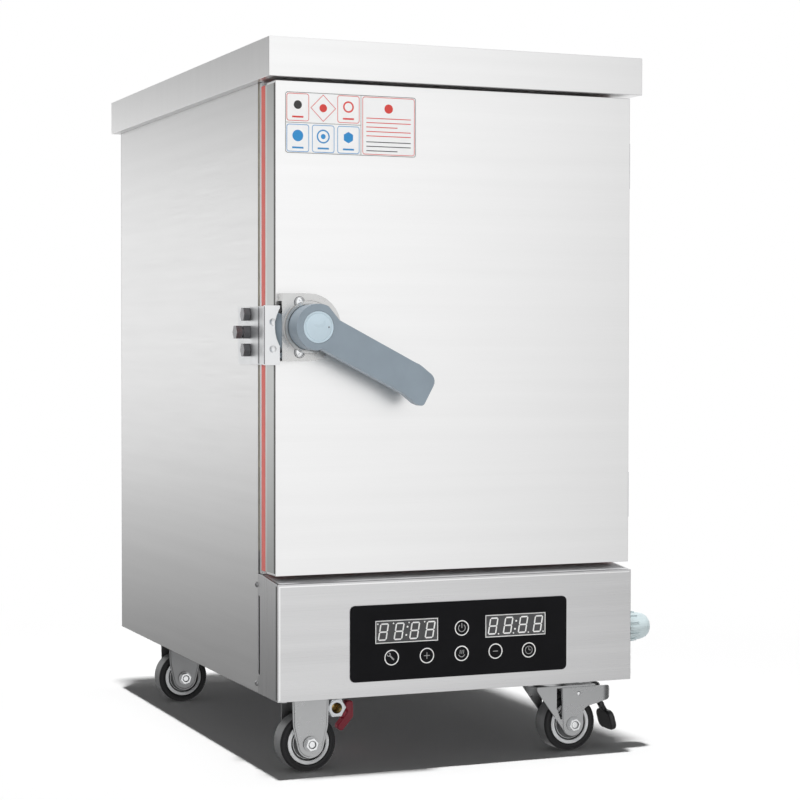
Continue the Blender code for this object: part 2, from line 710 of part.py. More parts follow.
def drain_valve(cabinet, lever_pivot):
    """The ball valve at the pipe's end, its stem tilted down to the right, and its red lever."""
    centre = (DRAIN_X, DRAIN_RISE)
    middle = (VALVE_REAR + VALVE_FRONT) / 2
    step = (VALVE_REAR - VALVE_FRONT) / 4
    shape = turned("Y", centre, ((VALVE_END, VALVE_REAR), (VALVE_END, middle + step),
                                 (VALVE_BALL, middle + step / 2), (VALVE_BALL, middle - step / 2),
                                 (VALVE_END, middle - step), (VALVE_END, VALVE_FRONT),
                                 (VALVE_SOCKET, VALVE_FRONT),
                                 (VALVE_SOCKET, VALVE_FRONT + VALVE_SOCKET_DEEP)), SIDES_SMALL)
    body = add("drain_valve_body", shape, "chrome", cabinet, smooth=True)
    tilt = (Matrix.Translation((DRAIN_X, middle, DRAIN_RISE)) @ Matrix.Rotation(math.radians(VALVE_TILT), 4, "Y")
            @ Matrix.Translation((-DRAIN_X, -middle, -DRAIN_RISE)))
    stem = rod("X", (middle, DRAIN_RISE), VALVE_STEM, DRAIN_X, DRAIN_X + VALVE_STEM_REACH, SIDES_SMALL)
    bmesh.ops.transform(stem, matrix=tilt, verts=stem.verts)
    combine(body, tool("join_valve_stem", stem, cabinet), "UNION")
    low = DRAIN_X + VALVE_STEM_REACH + GAP
    hub = arc((middle, DRAIN_RISE), VALVE_LEVER_HUB, 0, 180, 6)
    end = arc((middle, DRAIN_RISE - VALVE_LEVER_LONG + VALVE_LEVER_END), VALVE_LEVER_END, 180, 360, 6)
    lever = prism("X", hub + end, low, low + VALVE_LEVER_THICK)
    bmesh.ops.transform(lever, matrix=tilt, verts=lever.verts)
    add("drain_valve_lever", lever, "red_vinyl", lever_pivot)


def control_fascia(cabinet):
    """The folded front of the control box, with its sloped drip ledge."""
    front = -FASCIA_LEAD
    rear = FRAME_REAR
    outline = [(front, BODY_LOW), (front, FASCIA_TOP), (FRAME_FRONT, LEDGE_TOP), (rear, LEDGE_TOP),
               (rear, BODY_LOW)]
    fascia = add("control_fascia", prism("X", outline, -HALF, HALF), "brushed_steel", cabinet)
    inside = [(front + SHEET, BODY_LOW - OVERRUN), (front + SHEET, FASCIA_TOP - SHEET),
              (FRAME_FRONT, LEDGE_TOP - SHEET), (rear + OVERRUN, LEDGE_TOP - SHEET),
              (rear + OVERRUN, BODY_LOW - OVERRUN)]
    combine(fascia, tool("cut_fascia_inside", prism("X", inside, -HALF + SHEET, HALF - SHEET), cabinet))
    gland = rod("X", (GLAND_BACK, GLAND_Z), GLAND_THREAD + GAP, HALF - OVERRUN, HALF + OVERRUN)
    combine(fascia, tool("cut_fascia_gland", gland, cabinet))
    for window in display_windows(cabinet):
        combine(fascia, window)


def display_windows(cabinet):
    """Two cutters that leave the displays' windows."""
    names = ("cut_temperature_window", "cut_time_window")
    if names[0] not in bpy.data.objects:
        for name, x in zip(names, (TEMPERATURE_X, TIME_X)):
            half_width = DISPLAY_WIDTH / 2 + GAP
            half_height = DISPLAY_HEIGHT / 2 + GAP
            window = block((x - half_width, -FASCIA_LEAD - OVERRUN / 2, DISPLAY_Z - half_height),
                           (x + half_width, -FASCIA_LEAD + OVERRUN / 2, DISPLAY_Z + half_height))
            tool(name, window, cabinet)
    return [bpy.data.objects[name] for name in names]


def control_panel(cabinet):
    """The key overlay, its two displays and the circuit board behind them."""
    low = BODY_LOW + OVERLAY_RISE - OVERLAY_HEIGHT / 2
    outline = rounded((-OVERLAY_HALF, low), (OVERLAY_HALF, low + OVERLAY_HEIGHT), OVERLAY_CORNER)
    overlay = add("control_panel", prism("Y", outline, OVERLAY_FRONT, -FASCIA_LEAD - GAP),
                  "black_overlay", cabinet)
    for window in display_windows(cabinet):
        combine(overlay, window)
    front = OVERLAY_FRONT + GAP
    for name, x in (("temperature_display", TEMPERATURE_X), ("time_display", TIME_X)):
        shape = block((x - DISPLAY_WIDTH / 2, front, DISPLAY_Z - DISPLAY_HEIGHT / 2),
                      (x + DISPLAY_WIDTH / 2, front + DISPLAY_DEPTH, DISPLAY_Z + DISPLAY_HEIGHT / 2))
        add(name, shape, "display", cabinet)
    board = front + DISPLAY_DEPTH + GAP
    add("control_board", block((-BOARD_WIDTH / 2, board, DISPLAY_Z - BOARD_HEIGHT / 2),
                               (BOARD_WIDTH / 2, board + BOARD_THICK, DISPLAY_Z + BOARD_HEIGHT / 2)),
        "circuit_board", cabinet)


def cable_gland(cabinet):
    """The gland's body, with its thread through the side and a locknut inside, and its domed nut."""
    centre = (GLAND_BACK, GLAND_Z)
    wall = HALF + GAP
    inner = HALF - SHEET - GAP
    collar = wall + GLAND_COLLAR_LONG
    nose = collar + GLAND_NOSE
    body = [(GLAND_BORE, inner - GLAND_INSIDE), (GLAND_THREAD, inner - GLAND_INSIDE),
            (GLAND_THREAD, inner - GLAND_LOCKNUT_LONG), (GLAND_LOCKNUT, inner - GLAND_LOCKNUT_LONG),
            (GLAND_LOCKNUT, inner), (GLAND_THREAD, inner), (GLAND_THREAD, wall), (GLAND_COLLAR, wall),
            (GLAND_COLLAR, collar), (GLAND_THREAD, collar), (GLAND_THREAD, nose), (GLAND_BORE, nose)]
    add("cable_gland_body", turned("X", centre, body, closed=True), "pale_nylon", cabinet, smooth=True)
    start = collar + GAP
    end = HALF + GLAND_REACH
    bend = (start + end) / 2
    inside = GLAND_THREAD + GAP
    quarter = arc((bend, GLAND_TIP_RADIUS), end - bend, 90, 0, 4)
    rise = (GLAND_NUT_RADIUS - GLAND_TIP_RADIUS) / (end - bend)
    dome = [(GLAND_TIP_RADIUS + (height - GLAND_TIP_RADIUS) * rise, along) for along, height in quarter]
    nut = [(inside, start), (GLAND_NUT_RADIUS, start)] + dome
    nut += [(GLAND_BORE, end), (GLAND_BORE, nose + GAP), (inside, nose + GAP)]
    add("cable_gland_nut", turned("X", centre, nut, closed=True), "pale_nylon", cabinet, smooth=True)


def bolt_heights():
    """Heights of the strike's three bolts."""
    return [BOLT_Z + k * BOLT_PITCH for k in (1, 0, -1)]


def strike(cabinet):
    """The bent strike bracket on the left side and its three bolts."""
    inner = -HALF - GAP
    outer = inner - STRIKE_PLATE
    left = -HALF - STRIKE_FRONT_OUT
    right = -HALF - STRIKE_SIDE_CLEAR
    rear_face = -STRIKE_FRONT + STRIKE_PLATE
    lean = math.hypot(outer - left, STRIKE_WEB_START + STRIKE_FRONT) / (STRIKE_WEB_START + STRIKE_FRONT)
    web = left + STRIKE_PLATE * lean + (outer - left) * STRIKE_PLATE / (STRIKE_WEB_START + STRIKE_FRONT)
    outline = [(outer, STRIKE_REAR), (outer, STRIKE_WEB_START), (left, -STRIKE_FRONT), (right, -STRIKE_FRONT),
               (right, rear_face), (web, rear_face), (inner, STRIKE_WEB_START), (inner, STRIKE_REAR)]
    low = STRIKE_LOW
    bracket = add("strike_bracket", prism("Z", outline, low, low + STRIKE_HEIGHT), "zinc_steel", cabinet)
    recess = rod("Y", (LATCH_X, LATCH_Z), STRIKE_RECESS, -STRIKE_FRONT - OVERRUN / 2, rear_face + GAP, SIDES_FINE)
    combine(bracket, tool("cut_strike_recess", recess, cabinet))
    names = ("strike_bolt_upper", "strike_bolt_middle", "strike_bolt_lower")
    for name, z in zip(names, bolt_heights()):
        centre = (BOLT_BACK, z)
        hole = rod("X", centre, BOLT_RADIUS + GAP, outer - OVERRUN, inner + OVERRUN, SIDES_SMALL)
        combine(bracket, tool("cut_bracket_bolt", hole, cabinet))
        seat = outer - GAP
        face = seat - BOLT_HEAD_HIGH
        loops = [hexagon("X", centre, BOLT_HEAD, face), hexagon("X", centre, BOLT_HEAD, seat),
                 circle("X", centre, BOLT_RADIUS, seat, SIDES_SMALL),
                 circle("X", centre, BOLT_RADIUS, -HALF + SHEET, SIDES_SMALL)]
        if name == "strike_bolt_middle":
            neck = face - BOLT_NECK
            loops = [hexagon("X", centre, BOLT_HEAD, neck - BOLT_LOCKNUT), hexagon("X", centre, BOLT_HEAD, neck),
                     circle("X", centre, BOLT_NECK_RADIUS, neck, SIDES_SMALL),
                     circle("X", centre, BOLT_NECK_RADIUS, face, SIDES_SMALL)] + loops
        add(name, skin(loops), "zinc_steel", cabinet)


def hinge_leaves(cabinet, door):
    """Two lift-off hinges: a fixed leaf with its pin, and a door leaf whose barrel turns on it."""
    inner = HALF + GAP
    outer = inner + HINGE_LEAF
    centre = (HINGE_X, HINGE_BACK)
    for name, z in (("upper", DOOR_TOP - HINGE_FROM_END), ("lower", DOOR_LOW + HINGE_FROM_END)):
        low, high = z - HINGE_HALF_HEIGHT, z + HINGE_HALF_HEIGHT
        far = HINGE_BACK + HINGE_BODY_REACH
        near = HINGE_BACK + HINGE_BODY_START
        fixed = add("hinge_bracket_" + name, block((inner, near, low), (outer, far, high)), "chrome", cabinet)
        web = block((inner, HINGE_BACK, low), (outer, near + CLEAR, z - GAP))
        combine(fixed, tool("join_bracket_web_" + name, web, cabinet), "UNION")
        barrel = turned("Z", centre, ((HINGE_BARREL, low), (HINGE_BARREL, z - GAP), (HINGE_PIN, z - GAP),
                                      (HINGE_PIN, high - HINGE_PIN_SHORT)), SIDES_SMALL)
        combine(fixed, tool("join_bracket_barrel_" + name, barrel, cabinet), "UNION")
        near = HINGE_BACK - HINGE_BODY_START
        far = HINGE_BACK - HINGE_DOOR_REACH
        moving = add("hinge_leaf_" + name, block((inner, far, low), (outer, near, high)), "chrome", door)
        web = block((inner, near - CLEAR, z + GAP), (outer, HINGE_BACK, high))
        combine(moving, tool("join_leaf_web_" + name, web, door), "UNION")
        barrel = rod("Z", centre, HINGE_BARREL, z + GAP, high, SIDES_SMALL)
        combine(moving, tool("join_leaf_barrel_" + name, barrel, door), "UNION")
        bore = rod("Z", centre, HINGE_PIN + GAP, z - OVERRUN, high - HINGE_PIN_SHORT + GAP, SIDES_SMALL)
        combine(moving, tool("cut_leaf_bore_" + name, bore, door))


def door_panels(door):
    """The door: outer pan, lagging, inner liner and the silicone gasket."""
    low, high = (-HALF, DOOR_LOW), (HALF, DOOR_TOP)
    inner_low = [v + SHEET for v in low]
    inner_high = [v - SHEET for v in high]
    shape = skin([rectangle("Y", low, high, 0), rectangle("Y", low, high, DOOR_EDGE),
                  rectangle("Y", inner_low, inner_high, DOOR_EDGE),
                  rectangle("Y", inner_low, inner_high, SHEET)])
    add("door_outer_pan", shape, "brushed_steel", door)
    fit_low = [v + GAP for v in inner_low]
    fit_high = [v - GAP for v in inner_high]
    liner_low = [v + LINER_THICK for v in fit_low]
    liner_high = [v - LINER_THICK for v in fit_high]
    start = DOOR_EDGE - LINER_DEPTH
    shape = skin([rectangle("Y", fit_low, fit_high, DOOR_EDGE), rectangle("Y", fit_low, fit_high, start),
                  rectangle("Y", liner_low, liner_high, start),
                  rectangle("Y", liner_low, liner_high, DOOR_EDGE - LINER_THICK)])
    add("door_inner_pan", shape, "brushed_steel", door)
    add("door_insulation", block((fit_low[0], SHEET + GAP, fit_low[1]),
                                 (fit_high[0], start - GAP, fit_high[1])), "foam", door)
    low = [v + GASKET_INSET for v in low]
    high = [v - GASKET_INSET for v in high]
    inside_low = [v + GASKET_WIDTH for v in low]
    inside_high = [v - GASKET_WIDTH for v in high]
    front = DOOR_EDGE + GAP
    rear = front + GASKET_THICK
    bevel = GASKET_CHAMFER
    shape = skin([rectangle("Y", low, high, front), rectangle("Y", low, high, rear - bevel),
                  rectangle("Y", [v + bevel for v in low], [v - bevel for v in high], rear),
                  rectangle("Y", [v - bevel for v in inside_low], [v + bevel for v in inside_high], rear),
                  rectangle("Y", inside_low, inside_high, rear - bevel),
                  rectangle("Y", inside_low, inside_high, front)], closed=True)
    add("door_gasket", shape, "silicone", door)


def latch_housing(door):
    """The D-shaped chrome housing under the handle, open on its left for the cam."""
    def outline(wall):
        radius = HOUSING_RADIUS - wall
        left = LATCH_X - HOUSING_LEFT + wall
        return arc((LATCH_X, LATCH_Z), radius, -90, 90, 16) + [(left, LATCH_Z + radius), (left, LATCH_Z - radius)]
    housing = add("latch_housing", prism("Y", outline(0), HOUSING_FRONT, -GAP), "chrome", door)
    hollow = prism("Y", outline(HOUSING_WALL), HOUSING_FRONT + HOUSING_WALL, OVERRUN)
    combine(housing, tool("cut_housing_hollow", hollow, door))
    reach = HOUSING_RADIUS - HOUSING_WALL
    left = LATCH_X - HOUSING_LEFT
    side = block((left - OVERRUN, HOUSING_FRONT + HOUSING_WALL, LATCH_Z - reach),
                 (left + 2 * HOUSING_WALL, OVERRUN, LATCH_Z + reach * HOUSING_SLOT_SHARE))
    combine(housing, tool("cut_housing_side", side, door))
    hole = rod("Y", (LATCH_X, LATCH_Z), SHAFT_RADIUS + GAP, HOUSING_FRONT - OVERRUN, OVERRUN)
    combine(housing, tool("cut_housing_shaft", hole, door))


def latch_cam(handle):
    """The cam inside the housing, its nose out at the left, and the shaft that the handle turns."""
    centre = (LATCH_X, LATCH_Z)
    outline = arc(centre, CAM_HUB_RADIUS, CAM_LOBE_END - 360, CAM_NOSE_START, 14)
    outline += arc(centre, CAM_NOSE_RADIUS, CAM_NOSE_START, CAM_LOBE_START, 12)
    outline += arc(centre, CAM_LOBE_RADIUS, CAM_LOBE_START, CAM_LOBE_END, 2)
    cam = add("latch_cam", prism("Y", outline, -CAM_BACK - CAM_THICK, -CAM_BACK), "grey_nylon", handle)
    shaft = rod("Y", centre, SHAFT_RADIUS, HUB_FRONT + BOSS_RECESS + GAP, -CAM_BACK - CAM_THICK / 2)
    combine(cam, tool("join_cam_shaft", shaft, handle), "UNION")


def handle_lever(handle):
    """The handle: a round hub with a long lever that droops to the right, and its pale centre cap."""
    centre = (LATCH_X, LATCH_Z)
    bore = SHAFT_RADIUS + GAP
    recess = BOSS_RADIUS + GAP
    shape = turned("Y", centre, ((bore, HUB_BACK), (HUB_RADIUS, HUB_BACK),
                                 (HUB_RADIUS, HUB_FRONT + HUB_CHAMFER), (HUB_RADIUS - HUB_CHAMFER, HUB_FRONT),
                                 (recess, HUB_FRONT), (recess, HUB_FRONT + BOSS_RECESS),
                                 (bore, HUB_FRONT + BOSS_RECESS)), SIDES_FINE, closed=True)
    lever = add("handle_lever", shape, "grey_nylon", handle, smooth=True)
    upper = math.sqrt(HUB_RADIUS ** 2 - LEVER_UP ** 2) - LEVER_ROUND
    lower = math.sqrt(HUB_RADIUS ** 2 - LEVER_DOWN ** 2) - LEVER_ROUND
    points = [(upper, LEVER_UP), (LEVER_LENGTH - LEVER_SLOPE_START, LEVER_UP), (LEVER_LENGTH, LEVER_TIP_UP),
              (LEVER_LENGTH, -LEVER_DOWN), (LEVER_LENGTH - LEVER_HOOK_FULL, -LEVER_HOOK),
              (LEVER_LENGTH - LEVER_HOOK_START, -LEVER_DOWN), (lower, -LEVER_DOWN),
              ((recess + HUB_RADIUS) / 2, 0)]
    angle = math.radians(LEVER_ANGLE)
    outline = [(LATCH_X + s * math.cos(angle) - t * math.sin(angle),
                LATCH_Z + s * math.sin(angle) + t * math.cos(angle)) for s, t in points]
    blade = tool("join_lever_blade", prism("Y", outline, HUB_FRONT, HUB_FRONT + LEVER_THICK), handle)
    edge = blade.modifiers.new("edge", "BEVEL")
    edge.width = LEVER_ROUND
    edge.segments = 2
    combine(lever, blade, "UNION")
    cap = turned("Y", centre, ((BOSS_RADIUS, HUB_FRONT + BOSS_RECESS - GAP), (BOSS_RADIUS, HUB_FRONT),
                               (BOSS_RADIUS * BOSS_FLAT_SHARE, HUB_FRONT - BOSS_DOME)))
    add("handle_cap", cap, "pale_cap", handle, smooth=True)


def steam_vent(cabinet):
    """The vent tube from the chamber's back wall out through the back sheet."""
    flange = BODY_REAR + GAP
    end = flange + VENT_FLANGE_THICK + VENT_REACH
    start = TANK_REAR - SHEET
    profile = ((VENT_BORE, start), (VENT_RADIUS, start), (VENT_RADIUS, flange), (VENT_FLANGE, flange),
               (VENT_FLANGE, flange + VENT_FLANGE_THICK), (VENT_RADIUS, flange + VENT_FLANGE_THICK),
               (VENT_RADIUS, end), (VENT_BORE, end))
    add("steam_vent", turned("Y", (0, VENT_Z), profile, closed=True), "brushed_steel", cabinet, smooth=True)


def channel(y, low, top, start, end):
    """A downward channel along X that a fork's cheeks are cut from."""
    outer = FORK_HALF + FORK_PLATE
    outline = [(y - outer, low), (y - outer, top), (y + outer, top), (y + outer, low),
               (y + FORK_HALF, low), (y + FORK_HALF, top - FORK_PLATE), (y - FORK_HALF, top - FORK_PLATE),
               (y - FORK_HALF, low)]
    return prism("X", outline, start, end)


def rigid_fork(name, x, y, cabinet):
    """A fixed caster's plate and two cheeks, in one pressing."""
    low = WHEEL_RADIUS - CHEEK_END
    fork = add(name, channel(y, low - CLEAR, MOUNT_LOW + MOUNT_THICK / 2, x - CHEEK_TOP - CLEAR,
                             x + CHEEK_TOP + CLEAR), "zinc_steel", cabinet)
    outline = arc((x, WHEEL_RADIUS), CHEEK_END, 180, 360, 8)
    outline += [(x + CHEEK_TOP, MOUNT_LOW - 2 * MOUNT_THICK), (x + CHEEK_TOP, MOUNT_TOP),
                (x - CHEEK_TOP, MOUNT_TOP), (x - CHEEK_TOP, MOUNT_LOW - 2 * MOUNT_THICK)]
    reach = FORK_HALF + FORK_PLATE + CLEAR
    combine(fork, tool("trim_" + name, prism("Y", outline, y - reach, y + reach), cabinet), "INTERSECT")
    plate = block((x - MOUNT_LONG / 2, y - MOUNT_WIDE / 2, MOUNT_LOW),
                  (x + MOUNT_LONG / 2, y + MOUNT_WIDE / 2, MOUNT_TOP))
    combine(fork, tool("join_" + name, plate, cabinet), "UNION")
    combine(fork, axle_drill("cut_axle_" + name, x, y, cabinet))


def axle_drill(name, x, y, parent):
    """A drill through both cheeks for the axle."""
    reach = FORK_HALF + FORK_PLATE + CLEAR
    return tool(name, rod("Y", (x, WHEEL_RADIUS), AXLE_RADIUS + GAP, y - reach, y + reach, SIDES_SMALL), parent)


def swivel_plate(name, x, y, cabinet):
    """A swivel caster's fixed plate, race and kingpin."""
    plate = add(name, block((x - MOUNT_LONG / 2, y - MOUNT_WIDE / 2, MOUNT_LOW),
                            (x + MOUNT_LONG / 2, y + MOUNT_WIDE / 2, MOUNT_TOP)), "zinc_steel", cabinet)
    head = FORK_TOP - FORK_PLATE - GAP
    race = turned("Z", (x, y), ((RACE_RADIUS, MOUNT_LOW + MOUNT_THICK / 2), (RACE_RADIUS, MOUNT_LOW - RACE_HIGH),
                                (KINGPIN, MOUNT_LOW - RACE_HIGH), (KINGPIN, head), (KINGPIN_HEAD, head),
                                (KINGPIN_HEAD, head - KINGPIN_HEAD_HIGH)))
    combine(plate, tool("join_" + name, race, cabinet), "UNION")


def swivel_fork(name, x, y, swivel):
    """A swivel caster's fork, its cheeks trailing to the axle and reaching out to the brake."""
    axle = x + TRAIL
    end = axle + BRAKE_ARM
    low = WHEEL_RADIUS - CHEEK_END
    fork = add(name, channel(y, low - CLEAR, FORK_TOP, x - RACE_RADIUS - CLEAR, end + CLEAR), "zinc_steel", swivel)
    outline = arc((axle, WHEEL_RADIUS), CHEEK_END, 200, 380, 8)
    outline += [(axle + CHEEK_END, FORK_TOP - BRAKE_ARM_HIGH), (end, FORK_TOP - BRAKE_ARM_END_HIGH),
                (end, FORK_TOP + CLEAR), (x - RACE_RADIUS, FORK_TOP + CLEAR),
                (x - RACE_RADIUS, FORK_TOP - 2 * FORK_PLATE)]
    reach = FORK_HALF + FORK_PLATE + CLEAR
    combine(fork, tool("trim_" + name, prism("Y", outline, y - reach, y + reach), swivel), "INTERSECT")
    hole = rod("Z", (x, y), KINGPIN + GAP, FORK_TOP - OVERRUN / 2, FORK_TOP + OVERRUN / 2)
    combine(fork, tool("cut_kingpin_" + name, hole, swivel))
    combine(fork, axle_drill("cut_axle_" + name, axle, y, swivel))


def brake_pedal(name, x, y, pedal):
    """A brake pedal between the fork's arms, hung on its pivot."""
    pivot = (x, FORK_TOP - PEDAL_PIVOT_DROP)
    tip = (x + PEDAL_OUT, pivot[1] - PEDAL_DROP)
    lean = math.degrees(math.atan2(PEDAL_OUT, PEDAL_DROP))
    outline = arc(pivot, PEDAL_RADIUS - GAP, lean, 180 + lean, 6)
    outline += arc(tip, PEDAL_BLADE, 180 + lean, 360 + lean, 6)
    reach = FORK_HALF - GAP
    add(name, prism("Y", outline, y - reach, y + reach), "black_nylon", pedal)


def wheel(name, y, spin, axle_parent, x):
    """A wheel's tyre and rim, and the bolt that they turn on."""
    centre = (x, WHEEL_RADIUS)
    half = TYRE_WIDTH / 2
    seat = RIM_RADIUS + GAP
    tyre = ((seat, y - RIM_WIDTH / 2), (WHEEL_RADIUS - 2 * TYRE_CROWN, y - half),
            (WHEEL_RADIUS - TYRE_CROWN / 3, y - half + TYRE_CROWN), (WHEEL_RADIUS, y - half / 3),
            (WHEEL_RADIUS, y + half / 3), (WHEEL_RADIUS - TYRE_CROWN / 3, y + half - TYRE_CROWN),
            (WHEEL_RADIUS - 2 * TYRE_CROWN, y + half), (seat, y + RIM_WIDTH / 2))
    add("tyre_" + name, turned("Y", centre, tyre, SIDES_FINE, closed=True), "black_rubber", spin, smooth=True)
    bore = AXLE_RADIUS + GAP
    nave = FORK_HALF - GAP
    lip = RIM_RADIUS - RIM_LIP
    rim = ((bore, y - nave), (NAVE_RADIUS, y - nave), (NAVE_RADIUS, y - WEB_WIDTH / 2), (lip, y - WEB_WIDTH / 2),
           (lip, y - RIM_WIDTH / 2), (RIM_RADIUS, y - RIM_WIDTH / 2), (RIM_RADIUS, y + RIM_WIDTH / 2),
           (lip, y + RIM_WIDTH / 2), (lip, y + WEB_WIDTH / 2), (NAVE_RADIUS, y + WEB_WIDTH / 2),
           (NAVE_RADIUS, y + nave), (bore, y + nave))
    add("wheel_rim_" + name, turned("Y", centre, rim, closed=True), "grey_rim", spin, smooth=True)
    near, far = y - AXLE_REACH, y + AXLE_REACH
    bolt = skin([hexagon("Y", centre, AXLE_HEAD, near - AXLE_HEAD_HIGH), hexagon("Y", centre, AXLE_HEAD, near),
                 circle("Y", centre, AXLE_RADIUS, near, SIDES_SMALL), circle("Y", centre, AXLE_RADIUS, far, SIDES_SMALL),
                 hexagon("Y", centre, AXLE_HEAD, far), hexagon("Y", centre, AXLE_HEAD, far + AXLE_HEAD_HIGH)])
    add("axle_bolt_" + name, bolt, "zinc_steel", axle_parent)


def casters(cabinet):
    """Two rigid casters on the left and two swivel casters with brakes on the right."""
    for end, y in (("front", FRONT_CASTER_Y), ("rear", REAR_CASTER_Y)):
        name = end + "_left"
        rigid_fork("rigid_fork_" + end, LEFT_CASTER_X, y, cabinet)
        spin = empty("spin_" + name, (LEFT_CASTER_X, y, WHEEL_RADIUS), cabinet)
        wheel(name, y, spin, cabinet, LEFT_CASTER_X)
        name = end + "_right"
        swivel_plate("swivel_plate_" + end, RIGHT_CASTER_X, y, cabinet)
        swivel = empty("swivel_" + end, (RIGHT_CASTER_X, y, FORK_TOP), cabinet)
        swivel_fork("swivel_fork_" + end, RIGHT_CASTER_X, y, swivel)
        axle = RIGHT_CASTER_X + TRAIL
        spin = empty("spin_" + name, (axle, y, WHEEL_RADIUS), swivel)
        wheel(name, y, spin, swivel, axle)
        pivot = empty("brake_" + end, (axle + PEDAL_PIVOT, y, FORK_TOP - PEDAL_PIVOT_DROP), swivel)
        brake_pedal("brake_pedal_" + end, axle + PEDAL_PIVOT, y, pivot)


def build():
    """Makes the whole cabinet, piece by piece."""
    for thing in list(bpy.data.objects):
        bpy.data.objects.remove(thing, do_unlink=True)
    cabinet = empty("cabinet", (0, 0, 0))
    door = empty("door_hinge", (HINGE_X, HINGE_BACK, DOOR_LOW), cabinet)
    handle = empty("handle_pivot", (LATCH_X, HUB_BACK, LATCH_Z), door)
    tilt = math.radians(VALVE_TILT)
    valve = empty("valve_pivot", (DRAIN_X + VALVE_STEM_REACH * math.cos(tilt), (VALVE_REAR + VALVE_FRONT) / 2,
                                  DRAIN_RISE - VALVE_STEM_REACH * math.sin(tilt)), cabinet)
    side_panels(cabinet)
    back_panel(cabinet)
    top_cap(cabinet)
    base_plate(cabinet)
    front_frame(cabinet)
    inner_tank(cabinet)
    insulation_jacket(cabinet)
    tray_racks(cabinet)
    boiler_pan(cabinet)
    deck_plate(cabinet)
    heating_element(cabinet)
    drain_pipe(cabinet)
    drain_valve(cabinet, valve)
    control_fascia(cabinet)
    control_panel(cabinet)
    cable_gland(cabinet)
    strike(cabinet)
    hinge_leaves(cabinet, door)
    door_panels(door)
    latch_housing(door)
    latch_cam(handle)
    handle_lever(handle)
    steam_vent(cabinet)
    casters(cabinet)
    cabinet.location = -CENTRE


build()
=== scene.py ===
"""Looks of a rice steamer cabinet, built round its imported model.

Metres, +Z up, and the front faces -Y.  Each sub-assembly is a class with its own sizes, and
each finish is a small class that makes one material.
"""

import json
import logging
import math
from collections.abc import Sequence
from dataclasses import dataclass
from enum import Enum

import bmesh
import bpy
from mathutils import Euler, Matrix, Vector

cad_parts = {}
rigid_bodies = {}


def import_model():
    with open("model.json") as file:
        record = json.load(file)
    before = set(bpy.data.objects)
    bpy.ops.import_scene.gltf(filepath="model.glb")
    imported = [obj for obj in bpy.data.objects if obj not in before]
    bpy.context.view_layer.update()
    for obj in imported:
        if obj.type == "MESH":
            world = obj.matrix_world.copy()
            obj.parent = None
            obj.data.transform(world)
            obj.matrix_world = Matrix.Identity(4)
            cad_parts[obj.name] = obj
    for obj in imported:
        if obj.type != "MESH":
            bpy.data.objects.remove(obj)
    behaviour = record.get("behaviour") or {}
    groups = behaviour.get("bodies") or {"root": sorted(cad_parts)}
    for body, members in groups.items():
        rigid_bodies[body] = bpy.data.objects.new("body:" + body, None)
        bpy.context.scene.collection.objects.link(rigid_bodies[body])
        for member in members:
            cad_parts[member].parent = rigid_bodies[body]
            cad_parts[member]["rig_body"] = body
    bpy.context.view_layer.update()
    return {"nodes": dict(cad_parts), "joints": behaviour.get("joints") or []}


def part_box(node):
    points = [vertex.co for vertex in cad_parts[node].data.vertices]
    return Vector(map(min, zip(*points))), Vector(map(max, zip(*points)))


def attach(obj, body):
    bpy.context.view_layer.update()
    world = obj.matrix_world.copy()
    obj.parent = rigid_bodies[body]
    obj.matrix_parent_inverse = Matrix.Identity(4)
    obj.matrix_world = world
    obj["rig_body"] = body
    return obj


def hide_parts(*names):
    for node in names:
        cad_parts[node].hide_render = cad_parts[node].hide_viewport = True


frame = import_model()
LOG = logging.getLogger("cabinet")

Pair = tuple[float, float]
Tone = tuple[float, float, float]

MERGE = 0.00001
MAP_NAME = "grain"
FULL_TURN = 2 * math.pi


class Axis(Enum):
    """An axis of the cabinet's frame."""

    X = 0
    Y = 1
    Z = 2

    @property
    def vector(self) -> Vector:
        """Unit vector of the axis."""
        return Vector([1.0 if self.value == k else 0.0 for k in range(3)])

    def point(self, first: float, second: float, level: float) -> Vector:
        """Point at a level of this axis, with the other two coordinates in X, Y, Z order."""
        values = [first, second]
        values.insert(self.value, level)
        return Vector(values)


class Follow(Enum):
    """What a pattern is fixed to: the piece's own grain map, or the frame's coordinates."""

    SHEET = "sheet"
    SPACE = "space"


class Carve(Enum):
    """What a tool shape does to another shape."""

    CUT = "DIFFERENCE"
    JOIN = "UNION"
    KEEP = "INTERSECT"


@dataclass(frozen=True)
class Finish:
    """A plain finish: a mottled colour with a fine grained skin."""

    name: str
    tone: Tone
    roughness: float
    metallic: float = 0.0
    mottle: float = 0.06
    mottle_scale: float = 40.0
    grain_scale: float = 900.0
    grain_depth: float = 0.04
    roughness_spread: float = 0.06
    specular: float = 0.5
    coat: float = 0.0

    def material(self) -> bpy.types.Material:
        """Material of this finish, made once."""
        found = bpy.data.materials.get(self.name)
        if found:
            return found
        made = bpy.data.materials.new(self.name)
        made.use_nodes = True
        tree = made.node_tree
        shader = tree.nodes["Principled BSDF"]
        shader.inputs["Metallic"].default_value = self.metallic
        shader.inputs["Specular IOR Level"].default_value = self.specular
        shader.inputs["Coat Weight"].default_value = self.coat
        self.dress(tree, shader)
        return made

    def dress(self, tree: bpy.types.NodeTree, shader: bpy.types.Node) -> None:
        """Adds the pattern nodes that drive colour, roughness and relief.

        Args:
            tree: Node tree of the material.
            shader: Its principled shader.
        """
        place = tree.nodes.new("ShaderNodeTexCoord").outputs["Object"]
        cloud = noise(tree, place, self.mottle_scale, detail=3.0)
        skin = noise(tree, place, self.grain_scale, detail=2.0)
        tree.links.new(blend_tones(tree, cloud, self.tone, self.mottle), shader.inputs["Base Color"])
        tree.links.new(spread(tree, cloud, self.roughness, self.roughness_spread), shader.inputs["Roughness"])
        tree.links.new(relief(tree, skin, self.grain_depth), shader.inputs["Normal"])


